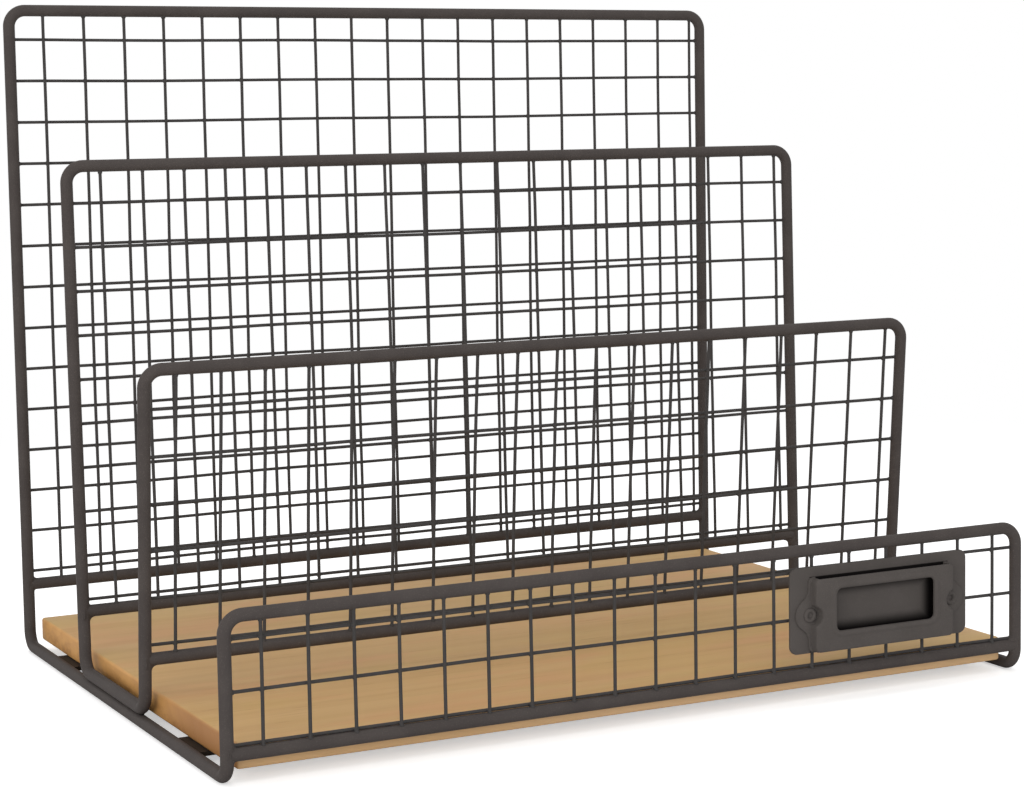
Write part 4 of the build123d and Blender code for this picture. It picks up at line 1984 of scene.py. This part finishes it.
@dataclass
class Studio:
    """Pale floor, soft light and the camera.

    Attributes:
        floor_size: Half the width of the floor.
        floor_colour: Colour of the floor.
        floor_lift: Light that the floor shows to the camera over its own.
        floor_fade: Distances over which the floor turns to the white background.
        sky: Strength of the light from all round.
        aim: Point that the lamps shine at.
        lamps: Name, place, size, power and warmth of each lamp.
        camera_place: Place of the camera.
        yaw: Camera's turn from +Y towards +X.
        pitch: Camera's tilt above the horizon.
        roll: Camera's roll.
        lens: Focal length for the sensor, in millimetres.
        sensor: Width of the sensor, in millimetres.
        shift: Lens shift.
        clip: Nearest and farthest distances that the camera sees.
    """

    floor_size: float = 8.0
    floor_colour: Colour = (0.84, 0.84, 0.84, 1.0)
    floor_lift: float = 0.50
    floor_fade: Flat = (0.3, 0.75)
    sky: float = 0.78
    aim: Point = (0.0, 0.0, 0.1)
    lamps: tuple[tuple[str, Point, float, float, Colour], ...] = (
        ("key_lamp", (-1.45, -0.95, 0.6), 1.2, 9.0, (1.0, 0.98, 0.95, 1.0)),
        ("fill_lamp", (0.2, -1.8, 0.4), 1.4, 4.5, (0.97, 0.98, 1.0, 1.0)),
        ("top_lamp", (0.1, 0.3, 1.7), 1.2, 3.6, WHITE),
    )
    camera_place: Point = (-0.40365, -0.84945, 0.21216)
    yaw: float = 29.05
    pitch: float = -5.507
    roll: float = -0.6063
    lens: float = 88.498
    sensor: float = 36.0
    shift: Flat = (-0.15, -0.055)
    clip: Flat = (0.01, 100.0)

    def build(self) -> None:
        """Sets up the whole studio."""
        scene = bpy.context.scene
        scene.view_settings.view_transform = "Standard"
        self._world(scene)
        self._floor()
        for lamp in self.lamps:
            self._lamp(*lamp)
        self._camera(scene)

    def _world(self, scene: Scene) -> None:
        """Makes the world: white to the eye and in reflections, softer as light.

        Args:
            scene: Scene to light.
        """
        world = bpy.data.worlds.new("studio_world")
        world.use_nodes = True
        sheet = NodeSheet(world.node_tree)
        strength = sheet.plus(self.sky, sheet.times(sheet.seen(), 1.0 - self.sky))
        back = sheet.add("ShaderNodeBackground", {"Color": WHITE, "Strength": strength})
        sheet.add("ShaderNodeOutputWorld", {"Surface": back.outputs[0]})
        scene.world = world

    def _floor(self) -> None:
        """Makes the floor: pale, with the holder's shadow on it, and white farther off."""
        half = self.floor_size
        corners = [(-half, -half, 0.0), (half, -half, 0.0), (half, half, 0.0), (-half, half, 0.0)]
        floor = new_object("studio_floor", corners, [(0, 1, 2, 3)])
        made = bpy.data.materials.new("studio_paper")
        made.use_nodes = True
        sheet = NodeSheet(made.node_tree)
        paper = sheet.add("ShaderNodeBsdfDiffuse", {"Color": self.floor_colour})
        camera_ray = sheet.add("ShaderNodeLightPath").outputs["Is Camera Ray"]
        lift = sheet.add("ShaderNodeEmission", {
            "Color": WHITE, "Strength": sheet.times(camera_ray, self.floor_lift)})
        near = sheet.line_up(sheet.add("ShaderNodeAddShader"), paper.outputs[0], lift.outputs[0])
        white = sheet.add("ShaderNodeEmission", {"Color": WHITE, "Strength": 1.0})
        reach = sheet.add("ShaderNodeVectorMath", {"Vector": sheet.place()}, operation="LENGTH")
        far = sheet.times(sheet.seen(), sheet.remap(reach.outputs["Value"], *self.floor_fade))
        shown = sheet.line_up(sheet.add("ShaderNodeMixShader"), far, near.outputs[0], white.outputs[0])
        sheet.add("ShaderNodeOutputMaterial", {"Surface": shown.outputs[0]})
        dress(floor.data, made)

    def _lamp(self, name: str, place: Point, size: float, power: float, colour: Colour) -> None:
        """Makes one soft lamp that shines at the holder.

        Args:
            name: Name of the lamp.
            place: Its place.
            size: Its width.
            power: Its power in watts.
            colour: Its colour.
        """
        data = bpy.data.lights.new(name, "AREA")
        data.shape, data.size, data.energy, data.color = "DISK", size, power, colour[:3]
        lamp = bpy.data.objects.new(name, data)
        lamp.location = place
        lamp.rotation_mode = "QUATERNION"
        lamp.rotation_quaternion = (Vector(self.aim) - Vector(place)).to_track_quat("-Z", "Y")
        bpy.context.scene.collection.objects.link(lamp)

    def _camera(self, scene: Scene) -> None:
        """Makes the camera at the photograph's viewing angle.

        Args:
            scene: Scene to view.
        """
        data = bpy.data.cameras.new("studio_camera")
        data.sensor_fit, data.sensor_width, data.lens = "HORIZONTAL", self.sensor, self.lens
        data.shift_x, data.shift_y = self.shift
        data.clip_start, data.clip_end = self.clip
        camera = bpy.data.objects.new("studio_camera", data)
        yaw, pitch, roll = (math.radians(turn) for turn in (self.yaw, self.pitch, self.roll))
        ahead = Vector((math.sin(yaw) * math.cos(pitch), math.cos(yaw) * math.cos(pitch), math.sin(pitch)))
        camera.location = self.camera_place
        camera.rotation_mode = "QUATERNION"
        camera.rotation_quaternion = ahead.to_track_quat("-Z", "Y") @ Quaternion((0.0, 0.0, 1.0), roll)
        scene.collection.objects.link(camera)
        scene.camera = camera


FRAME_COAT = PowderCoat("graphite_frame_coat")
MESH_COAT = PowderCoat(
    "graphite_mesh_coat", coat=(0.053, 0.050, 0.049, 1.0), thin_coat=(0.062, 0.058, 0.057, 1.0),
    peel_size=0.6 * MM, peel_depth=0.02 * MM, roughness=0.48)
LABEL_COAT = PowderCoat(
    "graphite_label_coat", coat=(0.081, 0.072, 0.067, 1.0), thin_coat=(0.088, 0.078, 0.073, 1.0),
    patch_size=9 * MM, peel_size=0.5 * MM, peel_depth=0.02 * MM)
# Painted shade: the tabs take the frame's graphite coat, darkened and browned for the shade under the board.
SHADED_TAB_COAT = PowderCoat(
    "graphite_tab_coat", coat=(0.028, 0.022, 0.018, 1.0), thin_coat=(0.036, 0.028, 0.022, 1.0),
    patch_size=6 * MM)
BOARD_WOOD = BoardWood("pale_board_wood")
SCREW_STEEL = ZincSteel("zinc_screw_steel")


def main() -> None:
    """Builds the holder's sub-assemblies and the studio in order."""
    logging.basicConfig(level=logging.INFO, format="%(name)s %(message)s")
    frame_finish = FRAME_COAT.material()
    FrameWires(frame_finish).build()
    FrameWelds(frame_finish).build()
    PanelMesh(MESH_COAT.material()).build()
    BaseBoard(BOARD_WOOD.material(), BOARD_WOOD.end_mask, BOARD_WOOD.side_mask).build()
    BoardFixings(SHADED_TAB_COAT.material(), SCREW_STEEL.material()).build()
    LabelHolder(LABEL_COAT).build()
    Studio().build()


if __name__ == "__main__":
    main()
